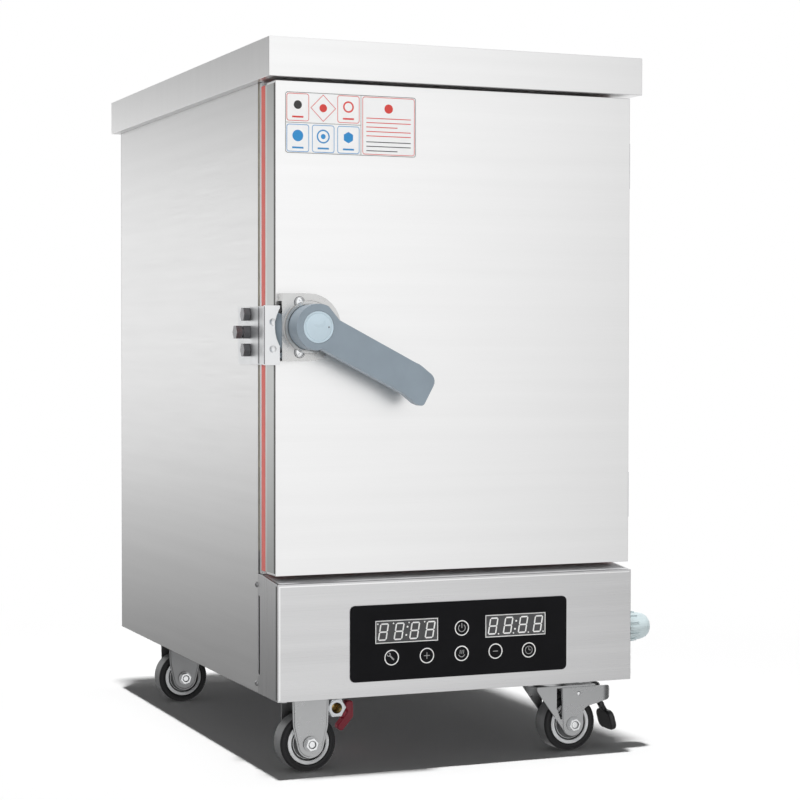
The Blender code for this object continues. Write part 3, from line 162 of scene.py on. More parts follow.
@dataclass(frozen=True)
class BrushedSteel(Finish):
    """Sheet steel with fine lines along its grain and broad soft streaks."""

    metallic: float = 1.0
    mottle: float = 0.05
    follow: Follow = Follow.SHEET
    line_long: float = 7.0
    line_fine: float = 1500.0
    line_depth: float = 0.05
    streak_long: float = 1.2
    streak_fine: float = 55.0
    # painted shade: share by which the tone darkens toward the floor, in place of a darker reflection low down
    fall: float = 0.0
    fall_low: float = 0.10
    fall_high: float = 0.55

    def dress(self, tree: bpy.types.NodeTree, shader: bpy.types.Node) -> None:
        """Adds the brushed lines, the streaks and the painted shade that darkens the tone toward the floor.

        Args:
            tree: Node tree of the material.
            shader: Its principled shader.
        """
        coordinates = tree.nodes.new("ShaderNodeTexCoord").outputs["Object"]
        place = coordinates
        if self.follow is Follow.SHEET:
            grain = tree.nodes.new("ShaderNodeUVMap")
            grain.uv_map = MAP_NAME
            place = grain.outputs["UV"]
        lines = noise(tree, stretched(tree, place, self.line_long, self.line_fine), 1.0, detail=4.0)
        streaks = noise(tree, stretched(tree, place, self.streak_long, self.streak_fine), 1.0, detail=3.0)
        colour = blend_tones(tree, lines, self.tone, self.mottle)
        colour = multiply(tree, colour, spread(tree, streaks, 1.0, self.mottle))
        # painted shade toward the floor
        if self.fall:
            colour = multiply(tree, colour, self.painted_shade_fall(tree, coordinates))
        tree.links.new(colour, shader.inputs["Base Color"])
        tree.links.new(spread(tree, lines, self.roughness, self.roughness_spread), shader.inputs["Roughness"])
        tree.links.new(relief(tree, lines, self.line_depth), shader.inputs["Normal"])

    def painted_shade_fall(self, tree: bpy.types.NodeTree, place: bpy.types.NodeSocket) -> bpy.types.NodeSocket:
        """Factor of painted shade that falls from one to its least toward the floor.

        Args:
            tree: Node tree of the material.
            place: Object coordinates.

        Returns:
            The factor's socket.
        """
        split = tree.nodes.new("ShaderNodeSeparateXYZ")
        tree.links.new(place, split.inputs[0])
        ramp = tree.nodes.new("ShaderNodeMapRange")
        ramp.interpolation_type = "SMOOTHSTEP"
        tree.links.new(split.outputs["Z"], ramp.inputs["Value"])
        for key, value in (("From Min", self.fall_low), ("From Max", self.fall_high),
                           ("To Min", 1 - self.fall), ("To Max", 1.0)):
            ramp.inputs[key].default_value = value
        return ramp.outputs["Result"]


def stretched(tree: bpy.types.NodeTree, place: bpy.types.NodeSocket, long: float, fine: float
              ) -> bpy.types.NodeSocket:
    """Coordinates stretched along the grain.

    Args:
        tree: Node tree of the material.
        place: Coordinates to stretch.
        long: Scale along the grain.
        fine: Scale across it.

    Returns:
        The stretched coordinates' socket.
    """
    mapping = tree.nodes.new("ShaderNodeMapping")
    mapping.inputs["Scale"].default_value = (long, fine, fine)
    tree.links.new(place, mapping.inputs["Vector"])
    return mapping.outputs["Vector"]


def noise(tree: bpy.types.NodeTree, place: bpy.types.NodeSocket, scale: float, detail: float
          ) -> bpy.types.NodeSocket:
    """Noise of a scale, read at the given coordinates.

    Args:
        tree: Node tree of the material.
        place: Coordinates.
        scale: Scale of the noise.
        detail: Its octaves.

    Returns:
        The noise factor's socket.
    """
    node = tree.nodes.new("ShaderNodeTexNoise")
    node.inputs["Scale"].default_value = scale
    node.inputs["Detail"].default_value = detail
    tree.links.new(place, node.inputs["Vector"])
    return node.outputs[0]


def blend_tones(tree: bpy.types.NodeTree, factor: bpy.types.NodeSocket, tone: Tone, width: float
                ) -> bpy.types.NodeSocket:
    """Colour that varies round a tone by a share of it.

    Args:
        tree: Node tree of the material.
        factor: What it varies with.
        tone: Middle colour.
        width: Share by which it varies.

    Returns:
        The colour's socket.
    """
    ramp = tree.nodes.new("ShaderNodeValToRGB")
    low, high = ramp.color_ramp.elements
    low.position, high.position = 0.3, 0.7
    low.color = (*[max(0.0, v * (1 - width)) for v in tone], 1.0)
    high.color = (*[min(1.0, v * (1 + width)) for v in tone], 1.0)
    tree.links.new(factor, ramp.inputs["Fac"])
    return ramp.outputs["Color"]


def multiply(tree: bpy.types.NodeTree, colour: bpy.types.NodeSocket, factor: bpy.types.NodeSocket
             ) -> bpy.types.NodeSocket:
    """Colour times a factor.

    Args:
        tree: Node tree of the material.
        colour: Colour's socket.
        factor: Factor's socket.

    Returns:
        The product's socket.
    """
    node = tree.nodes.new("ShaderNodeVectorMath")
    node.operation = "SCALE"
    tree.links.new(colour, node.inputs[0])
    tree.links.new(factor, node.inputs["Scale"])
    return node.outputs["Vector"]


def spread(tree: bpy.types.NodeTree, factor: bpy.types.NodeSocket, middle: float, width: float
           ) -> bpy.types.NodeSocket:
    """Number that varies round a middle value with a noise factor.

    Args:
        tree: Node tree of the material.
        factor: What it varies with.
        middle: Middle value.
        width: How far it goes to each side.

    Returns:
        The number's socket.
    """
    node = tree.nodes.new("ShaderNodeMapRange")
    for key, value in (("From Min", 0.3), ("From Max", 0.7), ("To Min", middle - width),
                       ("To Max", middle + width)):
        node.inputs[key].default_value = value
    tree.links.new(factor, node.inputs["Value"])
    return node.outputs["Result"]


def relief(tree: bpy.types.NodeTree, height: bpy.types.NodeSocket, depth: float) -> bpy.types.NodeSocket:
    """Bumped normal from a height.

    Args:
        tree: Node tree of the material.
        height: Height's socket.
        depth: Strength of the relief.

    Returns:
        The normal's socket.
    """
    bump = tree.nodes.new("ShaderNodeBump")
    bump.inputs["Strength"].default_value = depth
    bump.inputs["Distance"].default_value = 0.001
    tree.links.new(height, bump.inputs["Height"])
    return bump.outputs["Normal"]


DOOR_SHEET = BrushedSteel("door_sheet", (0.915, 0.915, 0.915), 0.34, line_depth=0.02, mottle=0.012)
CAP_SHEET = BrushedSteel("cap_sheet", (0.90, 0.90, 0.90), 0.34, line_depth=0.02, mottle=0.012)
SIDE_SHEET = BrushedSteel("side_sheet", (0.79, 0.79, 0.79), 0.36, line_depth=0.03, mottle=0.02)
FASCIA_SHEET = BrushedSteel("fascia_sheet", (0.69, 0.69, 0.695), 0.32, mottle=0.04)
# painted shade: a darker copy of the door steel for the door's side face
DOOR_SIDE_SHADE = BrushedSteel("door_return", (0.56, 0.57, 0.56), 0.36, mottle=0.02)
# painted light: a lighter, less metallic sheet so the ledge in the door's shade reads mid-grey
LEDGE_PAINTED_LIGHT = Finish("ledge_sheet", (0.62, 0.62, 0.63), 0.50, metallic=0.3, mottle=0.05)
STRIKE_SHEET = Finish("strike_sheet", (0.84, 0.85, 0.86), 0.44, metallic=0.95, mottle=0.03, grain_depth=0.02)
DARK_BOLT = Finish("dark_bolt", (0.20, 0.20, 0.21), 0.24, metallic=0.95, mottle=0.15)
VALVE_METAL = Finish("valve_plate", (0.62, 0.64, 0.66), 0.20, metallic=0.95, mottle=0.05, grain_depth=0.02)
LINER_SHEET = BrushedSteel("liner_sheet", (0.60, 0.60, 0.605), 0.32, mottle=0.05)
ZINC = Finish("zinc_plate", (0.45, 0.455, 0.46), 0.30, metallic=0.95, mottle=0.03, mottle_scale=60.0,
              grain_depth=0.008)
# painted shade: darker copy of the zinc for the rear fork, in the cabinet's shade
SHADED_ZINC = Finish("dull_zinc", (0.26, 0.262, 0.266), 0.34, metallic=0.9, mottle=0.06, grain_depth=0.008)
# painted highlight: near-white strips along the fascia's folds
EDGE_HIGHLIGHT = Finish("polished_edge", (0.97, 0.97, 0.97), 0.30, metallic=1.0, mottle=0.01)
EDGE_DARK = Finish("shaded_edge", (0.10, 0.10, 0.10), 0.50, metallic=0.6, mottle=0.05)
PAN_LIP = Finish("pan_lip", (0.66, 0.69, 0.67), 0.40, metallic=0.9, mottle=0.03)
BRIGHT_PLATE = Finish("bright_plate", (0.86, 0.87, 0.88), 0.20, metallic=0.95, mottle=0.03, grain_depth=0.02)
# dark steel of the heating element and the cap's dot, also used for painted shadow rings under the latch screws and
# painted shade lines at the strike's bends
DARK_STEEL_AND_SHADE = Finish("dull_steel", (0.16, 0.16, 0.17), 0.42, metallic=0.8, mottle=0.12)
CAST_METAL = Finish("cast_plate", (0.62, 0.62, 0.615), 0.28, metallic=0.9, mottle=0.08, grain_scale=500.0,
                    grain_depth=0.08)
CHROME = Finish("chrome_plate", (0.82, 0.83, 0.84), 0.12, metallic=1.0, mottle=0.03, grain_depth=0.01,
                roughness_spread=0.03)
BRASS = Finish("brass", (0.72, 0.48, 0.16), 0.28, metallic=0.95, mottle=0.10)
NYLON = Finish("grey_nylon_skin", (0.25, 0.30, 0.345), 0.40, mottle=0.04, grain_depth=0.05, specular=0.35)
CAP_NYLON = Finish("pale_cap_skin", (0.52, 0.63, 0.70), 0.32, mottle=0.04, grain_depth=0.03)
GLAND_NYLON = Finish("pale_nylon_skin", (0.58, 0.67, 0.69), 0.38, mottle=0.04)
OVERLAY = Finish("overlay_film", (0.007, 0.007, 0.008), 0.34, mottle=0.10, grain_scale=1400.0, grain_depth=0.03,
                 specular=0.06)
WINDOW = Finish("window_film", (0.075, 0.075, 0.077), 0.34, mottle=0.10, mottle_scale=120.0, grain_depth=0.02,
                specular=0.15)
PRINT = Finish("light_print", (0.80, 0.80, 0.79), 0.50, mottle=0.05)
SOFT_PRINT = Finish("soft_print", (0.36, 0.36, 0.36), 0.50, mottle=0.05)
BOARD = Finish("green_board", (0.03, 0.16, 0.07), 0.45, mottle=0.15)
SILICONE = Finish("red_silicone", (0.70, 0.13, 0.11), 0.50, mottle=0.08, grain_depth=0.05)
FOAM = Finish("lagging_foam", (0.72, 0.64, 0.42), 0.90, mottle=0.18, grain_scale=300.0, grain_depth=0.5)
RED_VINYL = Finish("dipped_vinyl", (0.52, 0.025, 0.06), 0.36, mottle=0.10, grain_depth=0.05)
RUBBER = Finish("black_rubber_skin", (0.012, 0.012, 0.013), 0.50, mottle=0.20, grain_depth=0.10, specular=0.30)
RIM_PLASTIC = Finish("rim_plastic", (0.12, 0.122, 0.125), 0.42, mottle=0.10)
RING_PLASTIC = Finish("ring_plastic", (0.78, 0.79, 0.80), 0.36, mottle=0.05)
# painted sheen: lighter grey standing in for the sheen on the rubber's tread
TREAD_SHEEN = Finish("worn_tread", (0.15, 0.152, 0.155), 0.40, mottle=0.25, mottle_scale=25.0, grain_depth=0.10)
# painted shade: dark tone for the base plate, in place of the shade under the cabinet
BASE_SHADE_SHEET = Finish("base_sheet", (0.22, 0.22, 0.225), 0.50, metallic=0.8, mottle=0.06, grain_depth=0.05)
# painted shade: near-black sheet that stands for the shade inside the side slots
SLOT_SHADE_BLACK = Finish("dark_backing", (0.006, 0.006, 0.006), 0.80, mottle=0.20, specular=0.1)
BLACK_NYLON = Finish("black_nylon_skin", (0.016, 0.016, 0.017), 0.34, mottle=0.15, grain_depth=0.08, specular=0.4)
PAPER = Finish("label_sheet", (0.92, 0.92, 0.92), 0.42, mottle=0.01, grain_depth=0.01)
RED_PRINT = Finish("red_print", (0.66, 0.06, 0.05), 0.45, mottle=0.05)
BLUE_PRINT = Finish("blue_print", (0.03, 0.26, 0.58), 0.45, mottle=0.05)
BLACK_PRINT = Finish("black_print", (0.03, 0.03, 0.03), 0.45, mottle=0.05)


def arc(centre: Pair, radius: float, start: float, end: float, count: int = 12) -> list[Pair]:
    """Points of an arc, with angles in degrees.

    Args:
        centre: Middle of the arc.
        radius: Its radius.
        start: Angle of the first point.
        end: Angle of the last one.
        count: Steps between them.

    Returns:
        The points.
    """
    turns = [math.radians(start + (end - start) * k / count) for k in range(count + 1)]
    return [(centre[0] + radius * math.cos(turn), centre[1] + radius * math.sin(turn)) for turn in turns]


def softened(corners: Sequence[tuple[float, float, float]], count: int = 6) -> list[Pair]:
    """Outline whose corners are rounded.

    Args:
        corners: Each corner's two coordinates and the radius of its rounding.
        count: Steps of each rounding.

    Returns:
        The outline's points.
    """
    outline: list[Pair] = []
    for k, (a, b, radius) in enumerate(corners):
        corner = Vector((a, b))
        if radius <= 0:
            outline.append((a, b))
            continue
        back = (Vector(corners[k - 1][:2]) - corner).normalized()
        onward = (Vector(corners[(k + 1) % len(corners)][:2]) - corner).normalized()
        half = back.angle(onward) / 2
        reach = radius / math.tan(half)
        centre = corner + (back + onward).normalized() * radius / math.sin(half)
        first = corner + back * reach - centre
        last = corner + onward * reach - centre
        turn = first.angle(last)
        for step in range(count + 1):
            share = step / count
            spoke = (first * math.sin((1 - share) * turn) + last * math.sin(share * turn)) / math.sin(turn)
            outline.append(tuple(centre + spoke))
    return outline


def rectangle(low: Pair, high: Pair, radius: float = 0.0) -> list[Pair]:
    """Outline of a rectangle with rounded corners."""
    return softened([(low[0], low[1], radius), (high[0], low[1], radius), (high[0], high[1], radius),
                     (low[0], high[1], radius)])


def bar(start: Pair, end: Pair, width: float) -> list[Pair]:
    """Outline of a straight bar between two points."""
    along = (Vector(end) - Vector(start)).normalized()
    side = Vector((-along.y, along.x)) * width / 2
    first, last = Vector(start), Vector(end)
    return [tuple(p) for p in (first - side, last - side, last + side, first + side)]


def band(centre: Pair, radius: float, width: float, start: float, end: float, count: int = 24) -> list[Pair]:
    """Outline of a bent bar along an arc."""
    outer = arc(centre, radius + width / 2, start, end, count)
    return outer + arc(centre, radius - width / 2, end, start, count)


def moved_outline(outline: Sequence[Pair], distance: float) -> list[Pair]:
    """Closed outline whose points are moved square to it by a distance."""
    result = []
    for k, point in enumerate(outline):
        here = Vector(point)
        back = (here - Vector(outline[k - 1])).normalized()
        onward = (Vector(outline[(k + 1) % len(outline)]) - here).normalized()
        along = (back + onward).normalized()
        reach = distance / max(0.3, along.dot(back))
        result.append((here.x + along.y * reach, here.y - along.x * reach))
    return result


def ribbon(outline: Sequence[Pair], width: float, axis: Axis, low: float, high: float) -> bmesh.types.BMesh:
    """Closed line of a width along an outline, square to an axis.

    Args:
        outline: Middle of the line.
        width: Its width.
        axis: Axis that it is square to.
        low: First level.
        high: Second level.

    Returns:
        The closed shape.
    """
    shape = bmesh.new()
    for distance in (width / 2, -width / 2):
        points = [shape.verts.new(axis.point(a, b, low)) for a, b in moved_outline(outline, distance)]
        for k, point in enumerate(points):
            shape.edges.new((points[k - 1], point))
    made = bmesh.ops.bridge_loops(shape, edges=list(shape.edges))
    made = bmesh.ops.extrude_face_region(shape, geom=made["faces"])
    moved = [item for item in made["geom"] if isinstance(item, bmesh.types.BMVert)]
    bmesh.ops.translate(shape, verts=moved, vec=axis.vector * (high - low))
    bmesh.ops.recalc_face_normals(shape, faces=shape.faces)
    return shape


def slab(outline: Sequence[Pair], axis: Axis, low: float, high: float) -> bmesh.types.BMesh:
    """Flat outline, square to an axis, carried from one level to another.

    Args:
        outline: Its corners.
        axis: Axis that it is square to.
        low: First level.
        high: Second level.

    Returns:
        The closed shape.
    """
    shape = bmesh.new()
    face = shape.faces.new([shape.verts.new(axis.point(a, b, low)) for a, b in outline])
    made = bmesh.ops.extrude_face_region(shape, geom=[face])
    moved = [item for item in made["geom"] if isinstance(item, bmesh.types.BMVert)]
    bmesh.ops.translate(shape, verts=moved, vec=axis.vector * (high - low))
    bmesh.ops.recalc_face_normals(shape, faces=shape.faces)
    return shape


def block(low: Sequence[float], high: Sequence[float]) -> bmesh.types.BMesh:
    """Box between two corners."""
    shape = bmesh.new()
    middle = (Vector(low) + Vector(high)) / 2
    size = Vector(high) - Vector(low)
    bmesh.ops.create_cube(shape, size=1.0, matrix=Matrix.Translation(middle) @ Matrix.Diagonal((*size, 1.0)))
    return shape


def lathe(profile: Sequence[Pair], axis: Axis, centre: Pair, steps: int = 48, ring: bool = False
          ) -> bmesh.types.BMesh:
    """Profile spun a full turn about an axis.

    Args:
        profile: Pairs of radius and level.
        axis: Axis of the turn.
        centre: The axis's two other coordinates.
        steps: Faces round the turn.
        ring: Whether the profile closes on itself.

    Returns:
        The turned shape.
    """
    shape = bmesh.new()
    points = [shape.verts.new(axis.point(centre[0] + radius, centre[1], level)) for radius, level in profile]
    edges = [shape.edges.new(pair) for pair in zip(points, points[1:])]
    if ring:
        edges.append(shape.edges.new((points[-1], points[0])))
    bmesh.ops.spin(shape, geom=points + edges, cent=axis.point(centre[0], centre[1], 0.0), axis=axis.vector,
                   dvec=(0.0, 0.0, 0.0), angle=FULL_TURN, steps=steps, use_merge=True, use_duplicate=False)
    bmesh.ops.remove_doubles(shape, verts=shape.verts, dist=MERGE)
    bmesh.ops.recalc_face_normals(shape, faces=shape.faces)
    return shape


def dome(radius: float, height: float, base: float, sign: float = 1.0, count: int = 6) -> list[Pair]:
    """Profile of a low round head, from its rim to its top on the axis."""
    turns = [math.pi / 2 * k / count for k in range(count + 1)]
    return [(radius * math.cos(turn), base + sign * height * math.sin(turn)) for turn in turns]


def merged(*shapes: bmesh.types.BMesh) -> bmesh.types.BMesh:
    """One shape that holds several, kept as separate shells.

    Args:
        *shapes: Shapes to put together; they are used up.

    Returns:
        The shape that holds them.
    """
    whole = bmesh.new()
    for shape in shapes:
        mesh = bpy.data.meshes.new("part")
        shape.to_mesh(mesh)
        shape.free()
        whole.from_mesh(mesh)
        bpy.data.meshes.remove(mesh)
    return whole


def temporary(name: str, shape: bmesh.types.BMesh) -> bpy.types.Object:
    """Object of a shape that is used up, for a modifier to work on."""
    mesh = bpy.data.meshes.new(name)
    shape.to_mesh(mesh)
    shape.free()
    made = bpy.data.objects.new(name, mesh)
    bpy.context.scene.collection.objects.link(made)
    return made


def carved(shape: bmesh.types.BMesh, tools: Sequence[bmesh.types.BMesh], how: Carve = Carve.CUT
           ) -> bmesh.types.BMesh:
    """A shape after tools have cut it, or have been joined to it.

    Args:
        shape: Shape to work on; it is used up.
        tools: Tool shapes; they are used up.
        how: What the tools do.

    Returns:
        The new shape.
    """
    target = temporary("carved", shape)
    others = [temporary("carver", tool) for tool in tools]
    for other in others:
        change = target.modifiers.new("carve", "BOOLEAN")
        change.operation = how.value
        change.solver = "EXACT"
        change.object = other
    bpy.context.view_layer.update()
    result = bmesh.new()
    result.from_object(target, bpy.context.evaluated_depsgraph_get())
    for used in (target, *others):
        mesh = used.data
        bpy.data.objects.remove(used)
        bpy.data.meshes.remove(mesh)
    bmesh.ops.remove_doubles(result, verts=result.verts, dist=MERGE)
    return result


def copied(node: str) -> bmesh.types.BMesh:
    """Merged copy of a CAD node's mesh, with its flat faces whole.

    Args:
        node: Name of the node.

    Returns:
        The copy.
    """
    shape = bmesh.new()
    shape.from_mesh(frame["nodes"][node].data)
    bmesh.ops.remove_doubles(shape, verts=shape.verts, dist=MERGE)
    bmesh.ops.dissolve_limit(shape, angle_limit=math.radians(0.5), verts=shape.verts, edges=shape.edges,
                             use_dissolve_boundaries=False)
    return shape


def grain_map(shape: bmesh.types.BMesh, grain: Vector, fallback: Vector) -> None:
    """Lays a map in metres on a shape, its U along the grain of each face.

    Args:
        shape: Shape to map.
        grain: Direction of the brushed lines.
        fallback: Direction on faces that are square to the grain.
    """
    layer = shape.loops.layers.uv.new(MAP_NAME)
    for face in shape.faces:
        normal = face.normal
        along = grain - normal * grain.dot(normal)
        if along.length < 0.5:
            along = fallback - normal * fallback.dot(normal)
        along.normalize()
        across = normal.cross(along)
        for loop in face.loops:
            loop[layer].uv = (loop.vert.co.dot(along), loop.vert.co.dot(across))


def slot_of(node: str) -> str:
    """Material slot of a CAD node in the record."""
    return frame["nodes"][node].material_slots[0].material.name.split(".")[0]


def body_of(node: str) -> str:
    """Body that a CAD node rides on."""
    return frame["nodes"][node]["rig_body"]


@dataclass
class SubAssembly:
    """A group of pieces that are made together."""

    body: str = "cabinet"

    def add(self, name: str, shape: bmesh.types.BMesh, finish: Finish, slot: str, body: str = "",
            replaces: Sequence[str] = (), edge: float = 0.0, segments: int = 2, sharp: float = 32.0,
            grain: Vector | None = None) -> bpy.types.Object:
        """Makes a finished piece of a shape.

        Args:
            name: Name of the piece.
            shape: Its shape; it is used up.
            finish: Its finish.
            slot: Material slot of the record; not used.
            body: Body that it rides on, if not the sub-assembly's own.
            replaces: CAD nodes that it stands for.
            edge: Width of its softened edges, or none.
            segments: Faces across such an edge.
            sharp: Angle in degrees from which an edge is sharp.
            grain: Direction of brushed lines.

        Returns:
            The piece.
        """
        shape.normal_update()
        if isinstance(finish, BrushedSteel):
            grain_map(shape, grain or Axis.X.vector, Axis.Z.vector if grain is None else Axis.Y.vector)
        mesh = bpy.data.meshes.new(name)
        shape.to_mesh(mesh)
        shape.free()
        mesh.shade_smooth()
        mesh.materials.append(finish.material())
        made = bpy.data.objects.new(name, mesh)
        bpy.context.scene.collection.objects.link(made)
        if edge:
            soften = made.modifiers.new("edges", "BEVEL")
            soften.width = edge
            soften.segments = segments
            soften.limit_method = "ANGLE"
            soften.angle_limit = math.radians(sharp)
            even = made.modifiers.new("even", "WEIGHTED_NORMAL")
            even.mode = "FACE_AREA"
            even.weight = 100
            even.keep_sharp = True
        else:
            mesh.set_sharp_from_angle(angle=math.radians(sharp))
        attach(made, body or self.body)
        if replaces:
            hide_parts(*replaces)
        LOG.info("%s: %d faces, on %s", name, len(mesh.polygons), body or self.body)
        return made

    def dress(self, node: str, finish: Finish, edge: float = 0.0, **options: object) -> bpy.types.Object:
        """Puts a finished copy of a CAD node in its place.

        Args:
            node: Name of the node.
            finish: Finish of the copy.
            edge: Width of its softened edges.
            **options: Other options of add.

        Returns:
            The piece.
        """
        return self.add(node + "_skin", copied(node), finish, slot_of(node), body=body_of(node),
                        replaces=(node,), edge=edge, **options)


@dataclass
class Screws(SubAssembly):
    """Cross-headed pan screws, one piece for each group."""

    head: float = 0.0038
    high: float = 0.0026
    cross: float = 0.0040
    cross_wide: float = 0.0011
    cross_deep: float = 0.0012

    def group(self, name: str, axis: Axis, sign: float, places: Sequence[tuple[float, float, float]],
              finish: Finish = ZINC, slot: str = "zinc_steel") -> None:
        """Makes a group of screws whose heads stand out along an axis.

        Args:
            name: Name of the piece.
            axis: Axis of the screws.
            sign: Way that the heads face along it.
            places: For each, two coordinates and the level of its seat.
            finish: Finish of the screws.
            slot: Material slot.
        """
        heads = []
        for first, second, seat in places:
            profile = [(0.0, seat), (self.head, seat), (self.head, seat + sign * self.high * 0.3)]
            profile += [(r, h) for r, h in dome(self.head * 0.96, self.high * 0.7, seat + sign * self.high * 0.3,
                                                sign)]
            head = lathe(profile, axis, (first, second), steps=28)
            top = seat + sign * self.high
            deep = top - sign * self.cross_deep
            tools = []
            for turn in (35.0, 125.0):
                tip = arc((first, second), self.cross / 2, turn, turn, 1)[0]
                foot = arc((first, second), self.cross / 2, turn + 180, turn + 180, 1)[0]
                tools.append(slab(bar(foot, tip, self.cross_wide), axis, min(deep, top + sign * self.high),
                                  max(deep, top + sign * self.high)))
            heads.append(carved(head, tools))
        self.add(name, merged(*heads), finish, slot, sharp=40.0)


@dataclass
class Casing(SubAssembly):
    """The outer sheets: sides, back, base, mouth frame and the skirted cap."""

    fold: float = 0.0010
    cap_fold: float = 0.0016
    screw_back: float = 0.0040
    screw_upper: float = 0.2400
    screw_lower: float = 0.1127
    back_screw_in: float = 0.0120
    back_screw_rows: int = 4

    def build(self) -> None:
        """Makes the casing's pieces."""
        for node in ("left_side_panel", "right_side_panel"):
            self.dress(node, SIDE_SHEET, self.fold, grain=Axis.Y.vector)
        self.dress("back_panel", SIDE_SHEET, self.fold / 2)
        # base plate darkened as painted shade under the cabinet
        self.dress("base_plate", BASE_SHADE_SHEET, self.fold / 2)
        self.dress("front_frame", FASCIA_SHEET, self.fold)
        self.dress("top_cap", CAP_SHEET, self.cap_fold, segments=3)
        self.screws()

    def screws(self) -> None:
        """Makes the screws of the side sheets and of the back sheet."""
        left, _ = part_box("left_side_panel")
        _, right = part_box("right_side_panel")
        y = left.y + self.screw_back
        heights = (self.screw_upper, self.screw_lower)
        maker = Screws()
        maker.group("side_screws_left", Axis.X, -1.0, [(y, z, left.x) for z in heights])
        maker.group("side_screws_right", Axis.X, 1.0, [(y, z, right.x) for z in heights])
        low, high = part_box("back_panel")
        cap_low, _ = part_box("top_cap")
        rows = [low.z + self.back_screw_in + (cap_low.z - low.z - 3 * self.back_screw_in) * k
                / (self.back_screw_rows - 1) for k in range(self.back_screw_rows)]
        places = [(x, z, high.y) for z in rows for x in (low.x + self.back_screw_in, high.x - self.back_screw_in)]
        maker.group("back_screws", Axis.Y, 1.0, places)


@dataclass
class Chamber(SubAssembly):
    """The steam chamber and what it holds."""

    fold: float = 0.0006

    def build(self) -> None:
        """Makes the chamber's pieces."""
        self.dress("inner_tank", LINER_SHEET, grain=Axis.Y.vector)
        self.dress("insulation_jacket", FOAM)
        for node in ("tray_rack_left", "tray_rack_right"):
            self.dress(node, LINER_SHEET, self.fold, grain=Axis.Y.vector)
        self.dress("boiler_pan", LINER_SHEET)
        self.dress("deck_plate", LINER_SHEET, self.fold / 2)
        self.dress("heating_element", DARK_STEEL_AND_SHADE)
        self.dress("steam_vent", LINER_SHEET, self.fold)


@dataclass
class Door(SubAssembly):
    """The door's sheets, lagging, gasket and hinges."""

    body: str = "door"
    fold: float = 0.0021
    hinge_edge: float = 0.0007
    hinge_screw_apart: float = 0.0340
    hinge_screw_pitch: float = 0.0150
    hinge_leaf_out: float = 0.0028
    return_thick: float = 0.0001
    return_in: float = 0.0030
    lip_thick: float = 0.0004
    lip_back: float = 0.0030
    lip_front: float = 0.0125
    fold_shade: float = 0.0062

    def build(self) -> None:
        """Makes the door's pieces."""
        low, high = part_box("door_outer_pan")
        thick, z_low, z_high = self.return_thick, low.z + self.return_in, high.z - self.return_in
        fold_back = low.y + self.fold_shade
        # painted shade: a darker sheet of the door steel on the door's side face, behind the dark fold strip of painted
        # shade
        self.add("door_return", block((low.x - thick, fold_back, z_low), (low.x + thick, high.y - 0.0005, z_high)),
                 DOOR_SIDE_SHADE, "brushed_steel", grain=Axis.Z.vector)
        self.add("door_fold_shade", block((low.x - thick, low.y + 0.0010, z_low), (low.x + thick, fold_back, z_high)),
                 EDGE_DARK, "brushed_steel")
        low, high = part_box("door_gasket")
        frame_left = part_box("front_frame")[0].x
        lip_left, lip_right = frame_left - 2 * self.lip_thick, frame_left - self.lip_thick
        middle = high.y - self.lip_front
        self.add("door_gasket_lip", block((lip_left, middle, low.z), (lip_right + self.lip_thick, high.y + self.lip_back,
                                                                      high.z)), SILICONE, "silicone", edge=0.0002)
        for name, left, right in (("door_pan_lip", lip_left, lip_right + self.lip_thick),
                                  ("door_pan_lip_hinge_side", high.x - self.lip_thick, high.x + self.lip_thick)):
            self.add(name, block((left, low.y + 0.0002, low.z), (right, middle, high.z)), PAN_LIP, "brushed_steel",
                     edge=0.0002)
        self.dress("door_outer_pan", DOOR_SHEET, self.fold, segments=3)
        self.dress("door_inner_pan", LINER_SHEET, self.fold / 2)
        self.dress("door_insulation", FOAM)
        self.dress("door_gasket", SILICONE, self.fold)
        self.hinges()

    def hinges(self) -> None:
        """Makes the hinge leaves and their screws."""
        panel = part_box("right_side_panel")[1].x
        for where in ("upper", "lower"):
            fixed, moving = "hinge_bracket_" + where, "hinge_leaf_" + where
            for node, step in ((fixed, -1), (moving, 1)):
                self.dress(node, CHROME, self.hinge_edge)
                low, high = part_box(node)
                middle = (low.z + high.z) / 2
                far = low.y if node == moving else high.y
                places = [(far + step * self.hinge_screw_pitch * (k + 0.6), middle + side * self.hinge_screw_apart / 2,
                           panel + self.hinge_leaf_out) for k in (0, 1) for side in (-1, 1)]
                Screws(body=body_of(node)).group(node + "_screws", Axis.X, 1.0, places)


